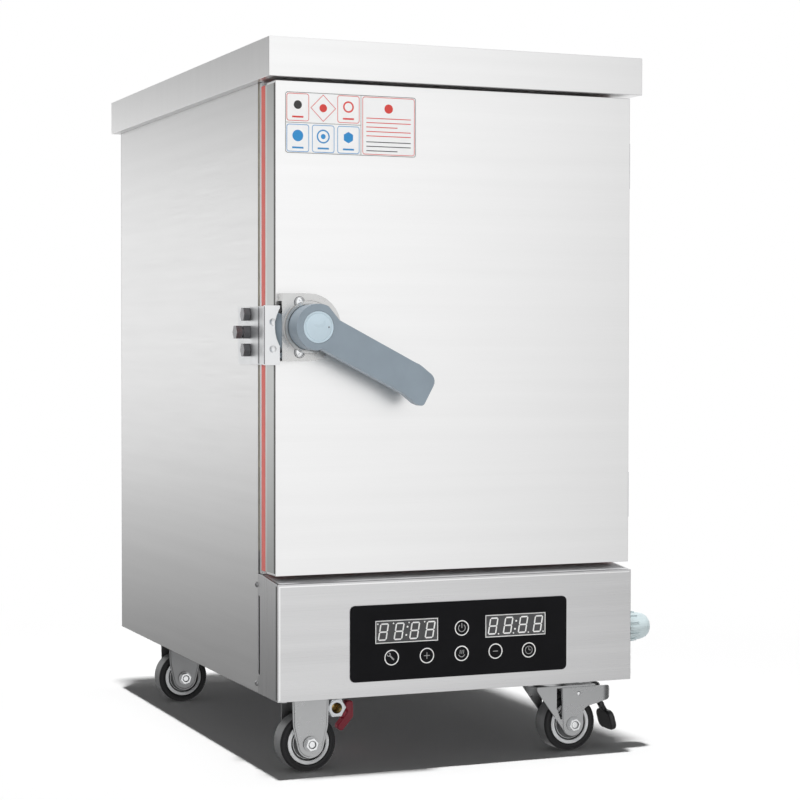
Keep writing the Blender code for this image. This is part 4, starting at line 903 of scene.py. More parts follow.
@dataclass
class LabelSheet(SubAssembly):
    """A plain sheet on the door with generic coloured marks in a grid."""

    body: str = "door"
    left: float = -0.24885
    right: float = -0.07155
    low: float = 0.7872
    high: float = 0.8642
    divider: float = -0.14725
    thick: float = 0.00012
    ink: float = 0.00004
    line: float = 0.0008
    inset: float = 0.0024
    corner: float = 0.0030
    lozenge: float = 0.0165
    ring: float = 0.0078
    disc: float = 0.0072
    caption: float = 0.0150
    caption_drop: float = 0.0120
    mark_rise: float = 0.0030
    text_rows: int = 5
    text_pitch: float = 0.0056
    text_wide: float = 0.0011

    def build(self) -> None:
        """Makes the sheet and its marks."""
        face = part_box("door_outer_pan")[0].y
        self.front = face - self.thick
        self.add("label_sheet", slab(rectangle((self.left, self.low), (self.right, self.high), 0.003), Axis.Y,
                                     self.front, face + self.thick), PAPER, "brushed_steel")
        for name, shapes, finish in (("red", self.red(), RED_PRINT), ("blue", self.blue(), BLUE_PRINT),
                                     ("dark", self.dark(), BLACK_PRINT)):
            self.add(f"label_{name}_marks", merged(*shapes), finish, "brushed_steel")

    def line_of(self, outline: Sequence[Pair], width: float = 0.0) -> bmesh.types.BMesh:
        """Printed line along a closed outline."""
        return ribbon(outline, width or self.line, Axis.Y, self.front - self.ink, self.front + self.ink)

    def fill_of(self, outline: Sequence[Pair]) -> bmesh.types.BMesh:
        """Printed patch with an outline."""
        return slab(outline, Axis.Y, self.front - self.ink, self.front + self.ink)

    def cell(self, column: int, row: int) -> tuple[Pair, Pair, Pair]:
        """Low corner, high corner and middle of a cell of the grid."""
        wide = (self.divider - self.left) / 3
        high = (self.high - self.low) / 2
        low_corner = (self.left + wide * column + self.inset, self.low + high * row + self.inset)
        high_corner = (low_corner[0] + wide - 2 * self.inset, low_corner[1] + high - 2 * self.inset)
        return low_corner, high_corner, ((low_corner[0] + high_corner[0]) / 2, (low_corner[1] + high_corner[1]) / 2)

    def caption_bar(self, middle: Pair) -> bmesh.types.BMesh:
        """Short bar under a mark."""
        z = middle[1] - self.caption_drop
        return self.fill_of(bar((middle[0] - self.caption / 2, z), (middle[0] + self.caption / 2, z), 0.0022))

    def red(self) -> list[bmesh.types.BMesh]:
        """Upper cells' marks and the right-hand panel's frame and lines."""
        shapes = []
        for column in (0, 2):
            low, high, middle = self.cell(column, 1)
            shapes += [self.line_of(rectangle(low, high, self.corner)), self.caption_bar(middle)]
        middle = self.cell(2, 1)[2]
        shapes.append(self.line_of(arc((middle[0], middle[1] + self.mark_rise), self.ring * 0.8, 0, 350, 35), 0.0020))
        middle = self.cell(1, 1)[2]
        shapes.append(self.line_of(arc(middle, self.lozenge, 0, 270, 3)))
        shapes.append(self.fill_of(arc(middle, self.disc * 0.7, 0, 350, 35)))
        low = (self.divider + self.inset, self.low + self.inset)
        high = (self.right - self.inset, self.high - self.inset)
        shapes.append(self.line_of(rectangle(low, high, self.corner)))
        shapes.append(self.fill_of(arc(((low[0] + high[0]) / 2, high[1] - 0.0140), 0.0058, 0, 350, 35)))
        for row in range(self.text_rows):
            shapes.append(self.text_line(row, 0.0290))
        return shapes

    def text_line(self, row: int, drop: float) -> bmesh.types.BMesh:
        """One bar that stands for a line of small print."""
        start = self.divider + self.inset + 0.005
        reach = (self.right - self.inset - 0.005 - start) * (1.0 if row % 3 < 2 else 0.7)
        z = self.high - drop - self.text_pitch * row
        return self.fill_of(bar((start, z), (start + reach, z), self.text_wide))

    def blue(self) -> list[bmesh.types.BMesh]:
        """Lower cells' marks."""
        shapes = []
        for column in range(3):
            low, high, middle = self.cell(column, 0)
            shapes += [self.line_of(rectangle(low, high, self.corner)), self.caption_bar(middle)]
            centre = (middle[0], middle[1] + self.mark_rise)
            if column == 1:
                shapes.append(self.line_of(arc(centre, self.ring, 0, 350, 35), 0.0018))
                shapes.append(self.fill_of(arc(centre, self.disc * 0.45, 0, 350, 35)))
            elif column == 0:
                shapes.append(self.fill_of(arc(centre, self.disc, 0, 350, 35)))
            else:
                shapes.append(self.fill_of(arc(centre, self.disc, 30, 330, 5)))
        return shapes

    def dark(self) -> list[bmesh.types.BMesh]:
        """The sheet's dark border, its dividing lines, one dark mark and the last lines of print."""
        edge = self.line
        middle = (self.low + self.high) / 2
        shapes = [self.line_of(rectangle((self.left + edge, self.low + edge), (self.right - edge, self.high - edge),
                                         self.corner), self.line * 0.8)]
        shapes.append(self.fill_of(bar((self.left + 1.5 * edge, middle), (self.divider - edge / 2, middle), edge * 0.7)))
        shapes.append(self.fill_of(bar((self.divider, self.low + 1.5 * edge), (self.divider, self.high - 1.5 * edge),
                                       edge * 0.7)))
        centre = self.cell(0, 1)[2]
        shapes.append(self.fill_of(arc((centre[0], centre[1] + self.mark_rise), self.disc * 0.75, 0, 350, 35)))
        shapes += [self.text_line(row, 0.0590) for row in range(3)]
        return shapes


@dataclass
class Latch(SubAssembly):
    """The latch: housing with its screws, cam, handle and strike."""

    body: str = "door"
    housing_edge: float = 0.0016
    collar: float = 0.0335
    collar_bore: float = 0.0296
    collar_high: float = 0.0030
    screw_x: float = -0.2350
    screw_rise: float = 0.0312
    screw_head: float = 0.0064
    screw_ring: float = 0.0073
    hub: float = 0.0289
    hub_step: float = 0.0006
    hub_chamfer: float = 0.0022
    blade_deep: float = 0.0150
    recess: float = 0.0201
    recess_deep: float = 0.0020
    bore: float = 0.0073
    flat_start: float = 62.6
    flat_end: float = 17.5
    angle: float = -27.0
    length: float = 0.1710
    up: float = 0.0205
    down: float = 0.0222
    hook: float = 0.0262
    blade_edge: float = 0.0026
    dot: float = 0.0011
    dimple: float = 0.0046
    dimple_deep: float = 0.0019
    dimple_x: float = -0.2713
    dimple_upper: float = 0.5759
    dimple_lower: float = 0.5425
    strike_flat: float = -0.26425
    bend_front: float = -0.3025
    bend_back: float = -0.2972

    def build(self) -> None:
        """Makes the latch's pieces."""
        joint = next(j for j in frame["joints"] if j["name"] == "handle_turn")
        self.x, _, self.z = joint["pos_m"]
        self.housing()
        self.dress("latch_cam", NYLON, 0.0008)
        self.handle()
        self.cap()
        self.strike()

    def housing(self) -> None:
        """Makes the housing, with a collar round the hub, and its two screws over painted shadow rings."""
        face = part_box("latch_housing")[0].y
        ring = [(self.collar_bore, face + 0.0004), (self.collar_bore, face - self.collar_high),
                (self.collar - 0.0008, face - self.collar_high), (self.collar, face - self.collar_high + 0.0008),
                (self.collar, face + 0.0004)]
        clip = block((self.x - self.collar, face - 2 * self.collar_high, self.z - self.collar),
                     (self.x + self.collar, face + self.collar_high, self.z + self.collar))
        shape = carved(lathe(ring, Axis.Y, (self.x, self.z), steps=64, ring=True), [clip], Carve.KEEP)
        self.dress("latch_housing", CAST_METAL, self.housing_edge, segments=3)
        self.add("latch_collar", shape, CAST_METAL, "chrome")
        places = [(self.screw_x, self.z + rise, face) for rise in (self.screw_rise, -self.screw_rise)]
        # painted shadow: dark discs under the screw heads stand for the shade round them
        shadow_rings = [lathe([(0.0, face + 0.0004), (self.screw_ring, face + 0.0004), (self.screw_ring, face - 0.0002),
                        (0.0, face - 0.0002)], Axis.Y, (x, z), steps=40) for x, z, _ in places]
        self.add("latch_screw_seats", merged(*shadow_rings), DARK_STEEL_AND_SHADE, "chrome")
        Screws(body="door", head=self.screw_head, high=0.0034, cross=0.0074, cross_wide=0.0019,
               cross_deep=0.0020).group("latch_screws", Axis.Y, -1.0, places, BRIGHT_PLATE)

    def turned(self, s: float, t: float) -> Pair:
        """Place on the face of a point given along and across the lever."""
        angle = math.radians(self.angle)
        return (self.x + s * math.cos(angle) - t * math.sin(angle),
                self.z + s * math.sin(angle) + t * math.cos(angle))

    def handle(self) -> None:
        """Makes the handle: a hub with a flat at its shoulder and a long drooping lever."""
        low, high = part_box("handle_lever")
        front, back = low.y, high.y
        centre = (self.x, self.z)
        deep = front + self.blade_deep
        outline = arc(centre, self.hub, self.flat_start, 268.0, 44)
        end = self.length
        corners = [(0.0150, -self.down, 0.0), (end - 0.031, -self.down, 0.012), (end - 0.012, -self.hook, 0.006),
                   (end - 0.001, -self.hook + 0.001, 0.005), (end, self.up - 0.006, 0.012),
                   (end - 0.030, self.up, 0.030)]
        blade = softened([(0.0, 0.0, 0.0)] + corners, count=5)[1:]
        outline += [self.turned(s, t) for s, t in blade]
        outline.append(arc(centre, self.hub, self.flat_end, self.flat_end, 1)[0])
        body = slab(outline, Axis.Y, front, deep)
        rear_radius = self.hub - self.hub_step
        rear = lathe([(0.0, deep - 0.002), (rear_radius, deep - 0.002), (rear_radius, back - 0.001),
                      (rear_radius - 0.001, back), (0.0, back)], Axis.Y, centre, steps=72)
        body = carved(body, [rear], Carve.JOIN)
        recess = lathe([(0.0, front - 0.01), (self.recess, front - 0.01), (self.recess, front + self.recess_deep),
                        (0.0, front + self.recess_deep)], Axis.Y, centre, steps=64)
        bore = lathe([(0.0, front - 0.01), (self.bore, front - 0.01), (self.bore, back + 0.01), (0.0, back + 0.01)],
                     Axis.Y, centre, steps=32)
        body = carved(body, [recess, bore])
        self.add("handle_grip", body, NYLON, "grey_nylon", body="handle", replaces=("handle_lever",),
                 edge=self.blade_edge, segments=4, sharp=40.0)

    def cap(self) -> None:
        """Makes the pale cap in the hub's middle, with its small dark dot."""
        low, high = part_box("handle_cap")
        centre = (self.x, self.z)
        radius = (high.x - low.x) / 2
        rim = low.y + 0.0008
        profile = [(0.0, high.y), (radius, high.y), (radius, rim + 0.0003), (radius - 0.0004, rim),
                   (radius - 0.0020, rim), (radius - 0.0024, rim + 0.0004), (radius - 0.0030, rim + 0.0004),
                   (radius - 0.0034, rim), (radius * 0.5, low.y + 0.0001), (0.0, low.y)]
        self.add("handle_cap_disc", lathe(profile, Axis.Y, centre, steps=64), CAP_NYLON, "pale_cap",
                 body="handle", replaces=("handle_cap",))
        dot = lathe([(0.0, rim + 0.0003), (self.dot, rim + 0.0003), (self.dot, rim - 0.0004), (0.0, rim - 0.0005)],
                    Axis.Y, (self.x + radius * 0.66, self.z), steps=16)
        self.add("handle_cap_dot", dot, DARK_STEEL_AND_SHADE, "zinc_steel", body="handle")

    def strike(self) -> None:
        """Makes the strike with its two dimples, its bolts and painted shade lines at its bends."""
        low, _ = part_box("strike_bracket")
        tools = []
        for z in (self.dimple_upper, self.dimple_lower):
            ball = bmesh.new()
            radius = (self.dimple ** 2 + self.dimple_deep ** 2) / (2 * self.dimple_deep)
            place = Vector((self.dimple_x, low.y + self.dimple_deep - radius, z))
            bmesh.ops.create_uvsphere(ball, u_segments=96, v_segments=64, radius=radius,
                                      matrix=Matrix.Translation(place))
            tools.append(ball)
        shape = carved(copied("strike_bracket"), tools)
        self.add("strike_bracket_skin", shape, STRIKE_SHEET, "zinc_steel", body="cabinet",
                 replaces=("strike_bracket",), edge=0.0005, segments=2)
        for node in ("strike_bolt_upper", "strike_bolt_middle", "strike_bolt_lower"):
            self.dress(node, DARK_BOLT, 0.0006)
        low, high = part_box("strike_bracket")
        end = 0.0012
        # painted shade: thin dark strips along the strike's bends
        flat = block((self.strike_flat - 0.0001, self.bend_front, low.z + end),
                     (self.strike_flat + 0.0001, self.bend_back, high.z - end))
        rim = block((low.x + 0.0001, low.y - 0.0001, low.z + end), (low.x + end, low.y + 0.0001, high.z - end))
        self.add("strike_bend_lines", merged(flat, rim), DARK_STEEL_AND_SHADE, "zinc_steel", body="cabinet")


@dataclass
class Keypad(SubAssembly):
    """The control box's front: overlay, displays with their figures, keys and symbols."""

    print_thick: float = 0.00006
    ring: float = 0.0100
    ring_wide: float = 0.0013
    stroke: float = 0.0009
    frame_wide: float = 0.0010
    frame_inset: float = 0.0003
    figure_high: float = 0.0222
    figure_wide: float = 0.0122
    figure_pitch: float = 0.0216
    segment: float = 0.0018
    slant: float = 0.17
    power: Pair = (-0.0100, 0.1815)
    steam: Pair = (-0.0102, 0.1485)
    wrench: Pair = (-0.10805, 0.1485)
    plus: Pair = (-0.05915, 0.1484)
    minus: Pair = (0.0381, 0.1488)
    clock: Pair = (0.0863, 0.1477)

    def build(self) -> None:
        """Makes the keypad's pieces."""
        self.dress("control_panel", OVERLAY, 0.0003)
        self.dress("control_board", BOARD, 0.0002)
        self.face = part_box("control_panel")[0].y
        rings, symbols = [], []
        for centre in (self.power, self.steam, self.wrench, self.plus, self.minus, self.clock):
            rings.append(lathe([(self.ring, self.face + self.print_thick), (self.ring, self.face - self.print_thick),
                                (self.ring - self.ring_wide, self.face - self.print_thick),
                                (self.ring - self.ring_wide, self.face + self.print_thick)],
                               Axis.Y, centre, steps=64, ring=True))
        for outline in self.symbols():
            symbols.append(self.printed(outline, self.face))
        self.add("key_rings", merged(*rings), PRINT, "display")
        self.add("key_symbols", merged(*symbols), SOFT_PRINT, "display")
        for node, low_dots in (("temperature_display", False), ("time_display", True)):
            self.display(node, low_dots)

    def printed(self, outline: Sequence[Pair], face: float) -> bmesh.types.BMesh:
        """Thin print of an outline on a face."""
        return slab(outline, Axis.Y, face - self.print_thick, face + self.print_thick)

    def symbols(self) -> list[list[Pair]]:
        """Outlines of the keys' symbols."""
        wide = self.stroke
        shapes = [band(self.power, 0.0048, wide, 125, 415), bar(self.power, (self.power[0], self.power[1] + 0.0062), wide)]
        x, z = self.steam
        shapes += [band((x, z), 0.0045, wide, 200, 340, 16)]
        for shift in (-0.0025, 0.0, 0.0025):
            shapes.append(bar((x + shift, z - 0.0005), (x + shift + 0.0006, z + 0.0045), wide * 0.8))
        x, z = self.wrench
        shapes += [bar((x - 0.0035, z + 0.0035), (x + 0.0030, z - 0.0030), wide * 2),
                   band((x - 0.0038, z + 0.0038), 0.0021, wide, 170, 460, 16)]
        x, z = self.plus
        shapes += [bar((x - 0.0042, z), (x + 0.0042, z), wide), bar((x, z - 0.0042), (x, z - wide / 2), wide),
                   bar((x, z + wide / 2), (x, z + 0.0042), wide)]
        x, z = self.minus
        shapes += [bar((x - 0.0036, z), (x + 0.0036, z), wide)]
        x, z = self.clock
        shapes += [band((x, z), 0.0050, wide * 0.8, 0, 359, 36), bar((x, z), (x, z + 0.0036), wide * 0.8),
                   bar((x + wide / 2, z), (x + 0.0028, z), wide * 0.8)]
        return shapes

    def display(self, node: str, low_dots: bool) -> None:
        """Makes one display: its window, frame line and four figures with a colon.

        Args:
            node: CAD node of the display.
            low_dots: Whether the small dots are below the figures, instead of above.
        """
        self.dress(node, WINDOW, 0.0002)
        low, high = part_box(node)
        inset, wide = self.frame_inset, self.frame_wide
        left, right = low.x + inset, high.x - inset
        bottom, top = low.z + inset, high.z - inset
        shapes = [rectangle((left, bottom), (left + wide, top)), rectangle((right - wide, bottom), (right, top)),
                  rectangle((left + wide, bottom), (right - wide, bottom + wide)),
                  rectangle((left + wide, top - wide), (right - wide, top))]
        middle = Vector(((low.x + high.x) / 2, (low.z + high.z) / 2))
        for place in (-1.5, -0.5, 0.5, 1.5):
            centre = (middle.x + place * self.figure_pitch, middle.y)
            shapes += self.figure(centre)
            sign = -1 if low_dots else 1
            z = middle.y + sign * (self.figure_high / 2 - 0.0006)
            shift = self.figure_pitch * 0.44 * -sign
            shapes.append(arc((centre[0] + shift + self.slant * (z - middle.y), z), 0.0010, 0, 330, 11))
        for rise in (-0.0052, 0.0052):
            shapes.append(arc((middle.x + self.slant * rise, middle.y + rise), 0.0013, 0, 330, 11))
        self.add(node + "_figures", merged(*[self.printed(s, low.y) for s in shapes]), PRINT, "display")

    def figure(self, centre: Pair) -> list[list[Pair]]:
        """Outlines of a figure's seven slanted segments."""
        half_wide = self.figure_wide / 2
        half_high = self.figure_high / 2
        gap = self.segment * 0.12

        def place(a: float, b: float) -> Pair:
            """Slanted place of a point of the figure."""
            return (centre[0] + a + self.slant * b, centre[1] + b)

        def stroke(start: Pair, end: Pair) -> list[Pair]:
            """Pointed bar between two corners of the figure."""
            first, last = Vector(start), Vector(end)
            along = (last - first).normalized()
            side = Vector((-along.y, along.x)) * self.segment / 2
            first, last = first + along * gap, last - along * gap
            inner, outer = first + along * self.segment / 2, last - along * self.segment / 2
            return [place(*p) for p in (first, inner - side, outer - side, last, outer + side, inner + side)]

        left, right = -half_wide + self.segment / 2, half_wide - self.segment / 2
        top, bottom = half_high - self.segment / 2, -half_high + self.segment / 2
        ends = [((left, top), (right, top)), ((left, 0.0), (right, 0.0)), ((left, bottom), (right, bottom)),
                ((left, 0.0), (left, top)), ((right, 0.0), (right, top)), ((left, bottom), (left, 0.0)),
                ((right, bottom), (right, 0.0))]
        return [stroke(start, end) for start, end in ends]


@dataclass
class ControlBox(SubAssembly):
    """The folded control box under the door, with its side slots, and the cable gland."""

    fold: float = 0.0022
    line_thick: float = 0.0001
    line_wide: float = 0.0014
    shade_wide: float = 0.0045
    ledge_thick: float = 0.0002
    ledge_in: float = 0.0030
    slot_y: float = -0.2921
    slot_half: float = 0.0031
    slot_back: float = 0.0030
    ledge_low: float = 0.2476
    slot_low: float = 0.1242
    slot_high: float = 0.2264
    ribs: int = 12

    def build(self) -> None:
        """Makes the control box's pieces."""
        low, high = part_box("control_fascia")
        tools = []
        for x in (low.x, high.x):
            outline = rectangle((self.slot_y - self.slot_half, self.slot_low),
                                (self.slot_y + self.slot_half, self.slot_high), self.slot_half * 0.9)
            tools.append(slab(outline, Axis.X, x - 0.005, x + 0.005))
        # painted shade: black blocks behind the slots stand for the shade inside them
        backs = [block((x + side * self.slot_back - 0.0005, self.slot_y - 3 * self.slot_half, self.slot_low - 0.004),
                       (x + side * self.slot_back + 0.0005, self.slot_y + 3 * self.slot_half, self.slot_high + 0.004))
                 for x, side in ((low.x, 1.0), (high.x, -1.0))]
        self.add("side_slot_backs", merged(*backs), SLOT_SHADE_BLACK, "black_rubber")
        self.add("control_fascia_skin", carved(copied("control_fascia"), tools), FASCIA_SHEET, "brushed_steel",
                 replaces=("control_fascia",), edge=self.fold, segments=3)
        self.ledge()
        self.fold_lines()
        self.gland()

    def fold_lines(self) -> None:
        """Makes the painted highlight along the top and left folds and the painted shade line round the corner."""
        low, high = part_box("control_fascia")
        thick, wide, left, top = self.line_thick, self.line_wide, low.x + self.fold, self.ledge_low - self.fold
        base = low.z + self.fold
        lit = [block((left, low.y - thick, top - wide), (high.x - self.fold, low.y + thick, top)),
               block((left, low.y - thick, base), (left + wide, low.y + thick, top - wide))]
        self.add("fold_line_lit", merged(*lit), EDGE_HIGHLIGHT, "brushed_steel")
        front = low.y + self.fold
        self.add("fold_line_shaded", block((low.x - thick, front, base), (low.x + thick, front + self.shade_wide, top)),
                 EDGE_DARK, "brushed_steel")

    def ledge(self) -> None:
        """Makes the lighter sheet of painted light on the shaded ledge between the control box and the door."""
        low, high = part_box("control_fascia")
        front, back = low.y + self.ledge_in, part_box("front_frame")[0].y - 0.0004
        deep = back - front
        slope = Vector((back - low.y, high.z - self.ledge_low)).normalized()
        sheet = block((low.x + self.ledge_in, front, 0.0), (high.x - self.ledge_in, front + deep, self.ledge_thick))
        for vert in sheet.verts:
            vert.co.z += self.ledge_low + 0.0001 + (vert.co.y - low.y) * slope.y / slope.x
        self.add("ledge_sheet", sheet, LEDGE_PAINTED_LIGHT, "brushed_steel")

    def gland(self) -> None:
        """Makes the gland's body and its ribbed domed nut."""
        self.dress("cable_gland_body", GLAND_NYLON, 0.0004)
        low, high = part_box("cable_gland_nut")
        centre = ((low.y + high.y) / 2, (low.z + high.z) / 2)
        radius = (high.y - low.y) / 2
        start, end = low.x, high.x
        grip = start + (end - start) * 0.42
        tip = radius * 0.52
        body = radius * 0.93
        profile = [(radius * 0.72, start), (body - 0.001, start), (body, start + 0.001), (body, grip)]
        for turn in range(1, 8):
            angle = math.pi / 2 * turn / 7
            profile.append((tip + (body - tip) * math.cos(angle), grip + (end - 0.001 - grip) * math.sin(angle)))
        profile += [(tip, end), (radius * 0.32, end), (radius * 0.32, end - 0.006), (radius * 0.72, end - 0.012)]
        nut = lathe(profile, Axis.X, centre, steps=48, ring=True)
        ribs = []
        for k in range(self.ribs):
            angle = FULL_TURN * k / self.ribs
            spoke = Vector((math.cos(angle), math.sin(angle)))
            foot = Vector(centre) + spoke * radius * 0.88
            head = Vector(centre) + spoke * radius
            ribs.append(slab(bar(tuple(foot), tuple(head), radius * 0.26), Axis.X, start + 0.0008, grip))
        self.add("cable_gland_nut_skin", merged(nut, *ribs), GLAND_NYLON, "pale_nylon",
                 replaces=("cable_gland_nut",), edge=0.0004, sharp=35.0)


@dataclass
class DrainLine(SubAssembly):
    """The drain pipe with its ball valve, whose stem is tilted, and the red lever."""

    ball: float = 0.0135
    end: float = 0.0112
    neck: float = 0.0095
    socket: float = 0.0072
    stem: float = 0.0045
    packing_nut: float = 0.0068
    packing_start: float = 0.0125
    packing_end: float = 0.0165
    hexagon_share: float = 0.22
    hub: float = 0.0085
    hub_start: float = 0.0175
    hub_end: float = 0.0245
    crank_reach: float = 0.0260
    crank_right: float = 0.0030
    crank_drop: float = 0.0010
    crank_high: float = 0.0195
    crank_end: Pair = (0.0150, 0.0190)
    crank_wide: float = 0.0115
    crank_deep: float = 0.0130

    def build(self) -> None:
        """Makes the drain's pieces."""
        self.dress("drain_pipe", CHROME)
        joint = next(j for j in frame["joints"] if j["name"] == "drain_lever_turn")
        place, along = Vector(joint["pos_m"]), Vector(joint["axis"])
        low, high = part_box("drain_pipe")
        middle = Vector(((low.x + high.x) / 2, place.y, place.z))
        middle.z -= along.z * (place.x - middle.x) / along.x
        centre = (middle.x, middle.z)
        low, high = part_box("drain_valve_body")
        body = lathe(self.profile(low.y, high.y), Axis.Y, centre, steps=48, ring=True)
        ends = [self.hexagon(centre, low.y + 0.0006, 1.0, high.y - low.y), self.hexagon(centre, high.y - 0.0006, -1.0,
                                                                                        high.y - low.y)]
        reach = (place - middle).length
        stem = lathe([(0.0, middle.x), (self.stem, middle.x), (self.stem, middle.x + reach - 0.0006),
                      (self.stem - 0.0006, middle.x + reach), (0.0, middle.x + reach)], Axis.X,
                     (middle.y, middle.z), steps=24)
        nut = slab(arc((middle.y, middle.z), self.packing_nut, 0, 300, 5), Axis.X, middle.x + self.packing_start,
                   middle.x + self.packing_end)
        tilt = Matrix.Rotation(math.atan2(-along.z, along.x), 3, "Y")
        for shape in (stem, nut):
            bmesh.ops.rotate(shape, cent=middle, matrix=tilt, verts=shape.verts)
        self.add("drain_valve_skin", merged(body, *ends, stem, nut), VALVE_METAL, "chrome",
                 replaces=("drain_valve_body",), edge=0.0004)
        plug = low.y + (high.y - low.y) * 0.3
        cap = lathe([(0.0, plug + 0.006)] + dome(self.socket + 0.0004, 0.006, plug + 0.005, -1.0, 8), Axis.Y, centre,
                    steps=32)
        self.add("drain_valve_ball", cap, BRASS, "chrome")
        self.lever(middle, along, place.y, tilt)

    def lever(self, middle: Vector, along: Vector, y: float, tilt: Matrix) -> None:
        """Makes the cranked lever, dipped in red vinyl, on the tilted stem.

        Args:
            middle: Middle of the valve.
            along: Direction of its stem.
            y: Place of the stem along the pipe.
            tilt: Turn that brings the X axis onto the stem.
        """
        hub = lathe([(0.0, middle.x + self.hub_start), (self.hub, middle.x + self.hub_start),
                     (self.hub, middle.x + self.hub_end), (0.0, middle.x + self.hub_end)], Axis.X,
                    (middle.y, middle.z), steps=32)
        bmesh.ops.rotate(hub, cent=middle, matrix=tilt, verts=hub.verts)
        foot = Vector((middle.x, middle.z)) + Vector((along.x, along.z)) * self.crank_reach
        bend = Vector((foot.x + self.crank_right, foot.y - self.crank_drop))
        head = Vector((bend.x - 0.0004, bend.y + self.crank_high))
        tip = bend + Vector((-self.crank_end[0], -self.crank_end[1]))
        half = self.crank_wide / 2
        down = (tip - bend).normalized()
        side = Vector((-down.y, down.x)) * half * 0.88
        corners = [(head.x - half, head.y, half * 0.8), (bend.x - half, bend.y + 0.001, 0.003),
                   (*(tip - side), half * 0.7), (*(tip + side), half * 0.7), (bend.x + half, bend.y - 0.003, 0.006),
                   (head.x + half, head.y, half * 0.8)]
        grip = slab(softened(corners, 5), Axis.Y, y - self.crank_deep / 2, y + self.crank_deep / 2)
        self.add("drain_valve_lever_skin", merged(grip, hub), RED_VINYL, slot_of("drain_valve_lever"),
                 body="drain_lever", replaces=("drain_valve_lever",), edge=0.0018, segments=4, sharp=50.0)

    def profile(self, start: float, end: float) -> list[Pair]:
        """Half outline of the valve's body, from its open end round the ball to its rear end."""
        span = end - start
        outer = [(self.end, 0.0), (self.end, 0.2), (self.neck, 0.22), (self.neck, 0.27)]
        outer += [(self.neck + (self.ball - self.neck) * math.sin(math.pi * share), 0.27 + 0.46 * share)
                  for share in (0.1, 0.2, 0.3, 0.4, 0.5, 0.6, 0.7, 0.8, 0.9)]
        outer += [(self.neck, 0.73), (self.neck, 0.78), (self.end, 0.8), (self.end, 1.0), (self.socket, 1.0)]
        return [(self.socket, start)] + [(radius, start + span * share) for radius, share in outer]

    def hexagon(self, centre: Pair, level: float, side: float, span: float) -> bmesh.types.BMesh:
        """Six-sided collar at an end of the valve's body, bored for the pipe."""
        far = level + side * span * self.hexagon_share * 0.8
        outer = slab(arc(centre, self.end / math.cos(math.pi / 6) + 0.0006, 0, 300, 5), Axis.Y, min(level, far),
                     max(level, far))
        return carved(outer, [slab(arc(centre, self.socket + 0.0006, 0, 345, 23), Axis.Y, level - span, level + span)])


@dataclass
class Wheel(SubAssembly):
    """A caster wheel: a rubber tyre on a plastic rim, with a pale ring and a thin bead on each side."""

    name: str = ""
    bore: float = 0.0053
    seat: float = 0.0281
    ring_inner: float = 0.0232
    ring_sunk: float = 0.0009
    lip_sunk: float = 0.0026
    groove: float = 0.0075
    disc: float = 0.0213
    disc_sunk: float = 0.0024
    bead: float = 0.0007
    nave: float = 0.0110
    tread_half: float = 0.0122
    tread_sunk: float = 0.0006

    def build(self) -> None:
        """Makes the wheel's pieces."""
        low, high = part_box("tyre_" + self.name)
        rim_low, rim_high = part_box("wheel_rim_" + self.name)
        self.radius, self.half = (high.z - low.z) / 2, (high.y - low.y) / 2
        self.reach = (rim_high.y - rim_low.y) / 2
        x, y, z = (low + high) / 2
        centre = (x, z)
        self.add("tyre_skin_" + self.name, lathe(self.tyre(y), Axis.Y, centre, steps=72, ring=True), RUBBER,
                 "black_rubber", replaces=("tyre_" + self.name,), sharp=40.0)
        # painted sheen: lighter band over the tread
        wide, foot = self.tread_half - 0.0001, self.radius - 2 * self.tread_sunk
        self.add("tread_" + self.name, lathe([(foot, y - wide), (self.radius, y - wide), (self.radius, y + wide),
                                              (foot, y + wide)], Axis.Y, centre, steps=72, ring=True), TREAD_SHEEN,
                 "black_rubber")
        self.add("rim_skin_" + self.name, lathe(self.rim(y), Axis.Y, centre, steps=64, ring=True), RIM_PLASTIC,
                 "grey_rim", replaces=("wheel_rim_" + self.name,), edge=0.0004)
        rings = []
        for side in (-1.0, 1.0):
            rings.append(self.flat_ring(centre, self.ring_inner, self.seat - 0.0002,
                                        y + side * (self.half - self.ring_sunk), side))
            rings.append(self.flat_ring(centre, self.disc - 1.6 * self.bead, self.disc - 0.6 * self.bead,
                                        y + side * (self.half - self.disc_sunk + 0.0005), side))
        self.add("ring_" + self.name, merged(*rings), RING_PLASTIC, "grey_rim")

    def flat_ring(self, centre: Pair, inner: float, outer: float, level: float, side: float) -> bmesh.types.BMesh:
        """Flat ring with eased edges, whose face is at a level."""
        ease = min(0.0005, (outer - inner) / 3)
        foot = level - side * 0.002
        return lathe([(inner, foot), (inner, level - side * ease), (inner + ease, level), (outer - ease, level),
                      (outer, level - side * ease), (outer, foot)], Axis.Y, centre, steps=64, ring=True)

    def tyre(self, y: float) -> list[Pair]:
        """Profile of the tyre: side walls with a shallow groove, rounded shoulders and a flat tread."""
        half, shoulder = self.half, 0.0042
        side = [(self.seat, half - 0.0030), (self.seat + 0.0006, half - 0.0009), (self.seat + 0.0016, half - 0.0002),
                (0.0316, half), (0.0319, half - 0.0004), (0.0325, half - 0.0004), (0.0328, half)]
        side += [(radius, level) for level, radius in arc((half - shoulder, self.radius - shoulder), shoulder, 8, 90, 8)]
        side += [(self.radius, self.tread_half), (self.radius - self.tread_sunk, self.tread_half)]
        return [(radius, y + level) for radius, level in side] + [(radius, y - level)
                                                                  for radius, level in reversed(side)]

    def rim(self, y: float) -> list[Pair]:
        """Profile of the rim: a drum, a deep groove, a disc and a nave."""
        drum, half = self.seat - 0.0001, self.half
        lip, disc = half - self.lip_sunk, half - self.disc_sunk
        side = [(drum, lip), (self.ring_inner, lip), (self.ring_inner, half - self.groove),
                (self.disc, half - self.groove), (self.disc, disc), (self.nave + 0.0040, disc - 0.0010),
                (self.nave, self.reach - 0.0010), (self.nave - 0.0008, self.reach), (self.bore, self.reach)]
        return [(r, y + level) for r, level in side] + [(r, y - level) for r, level in reversed(side)]


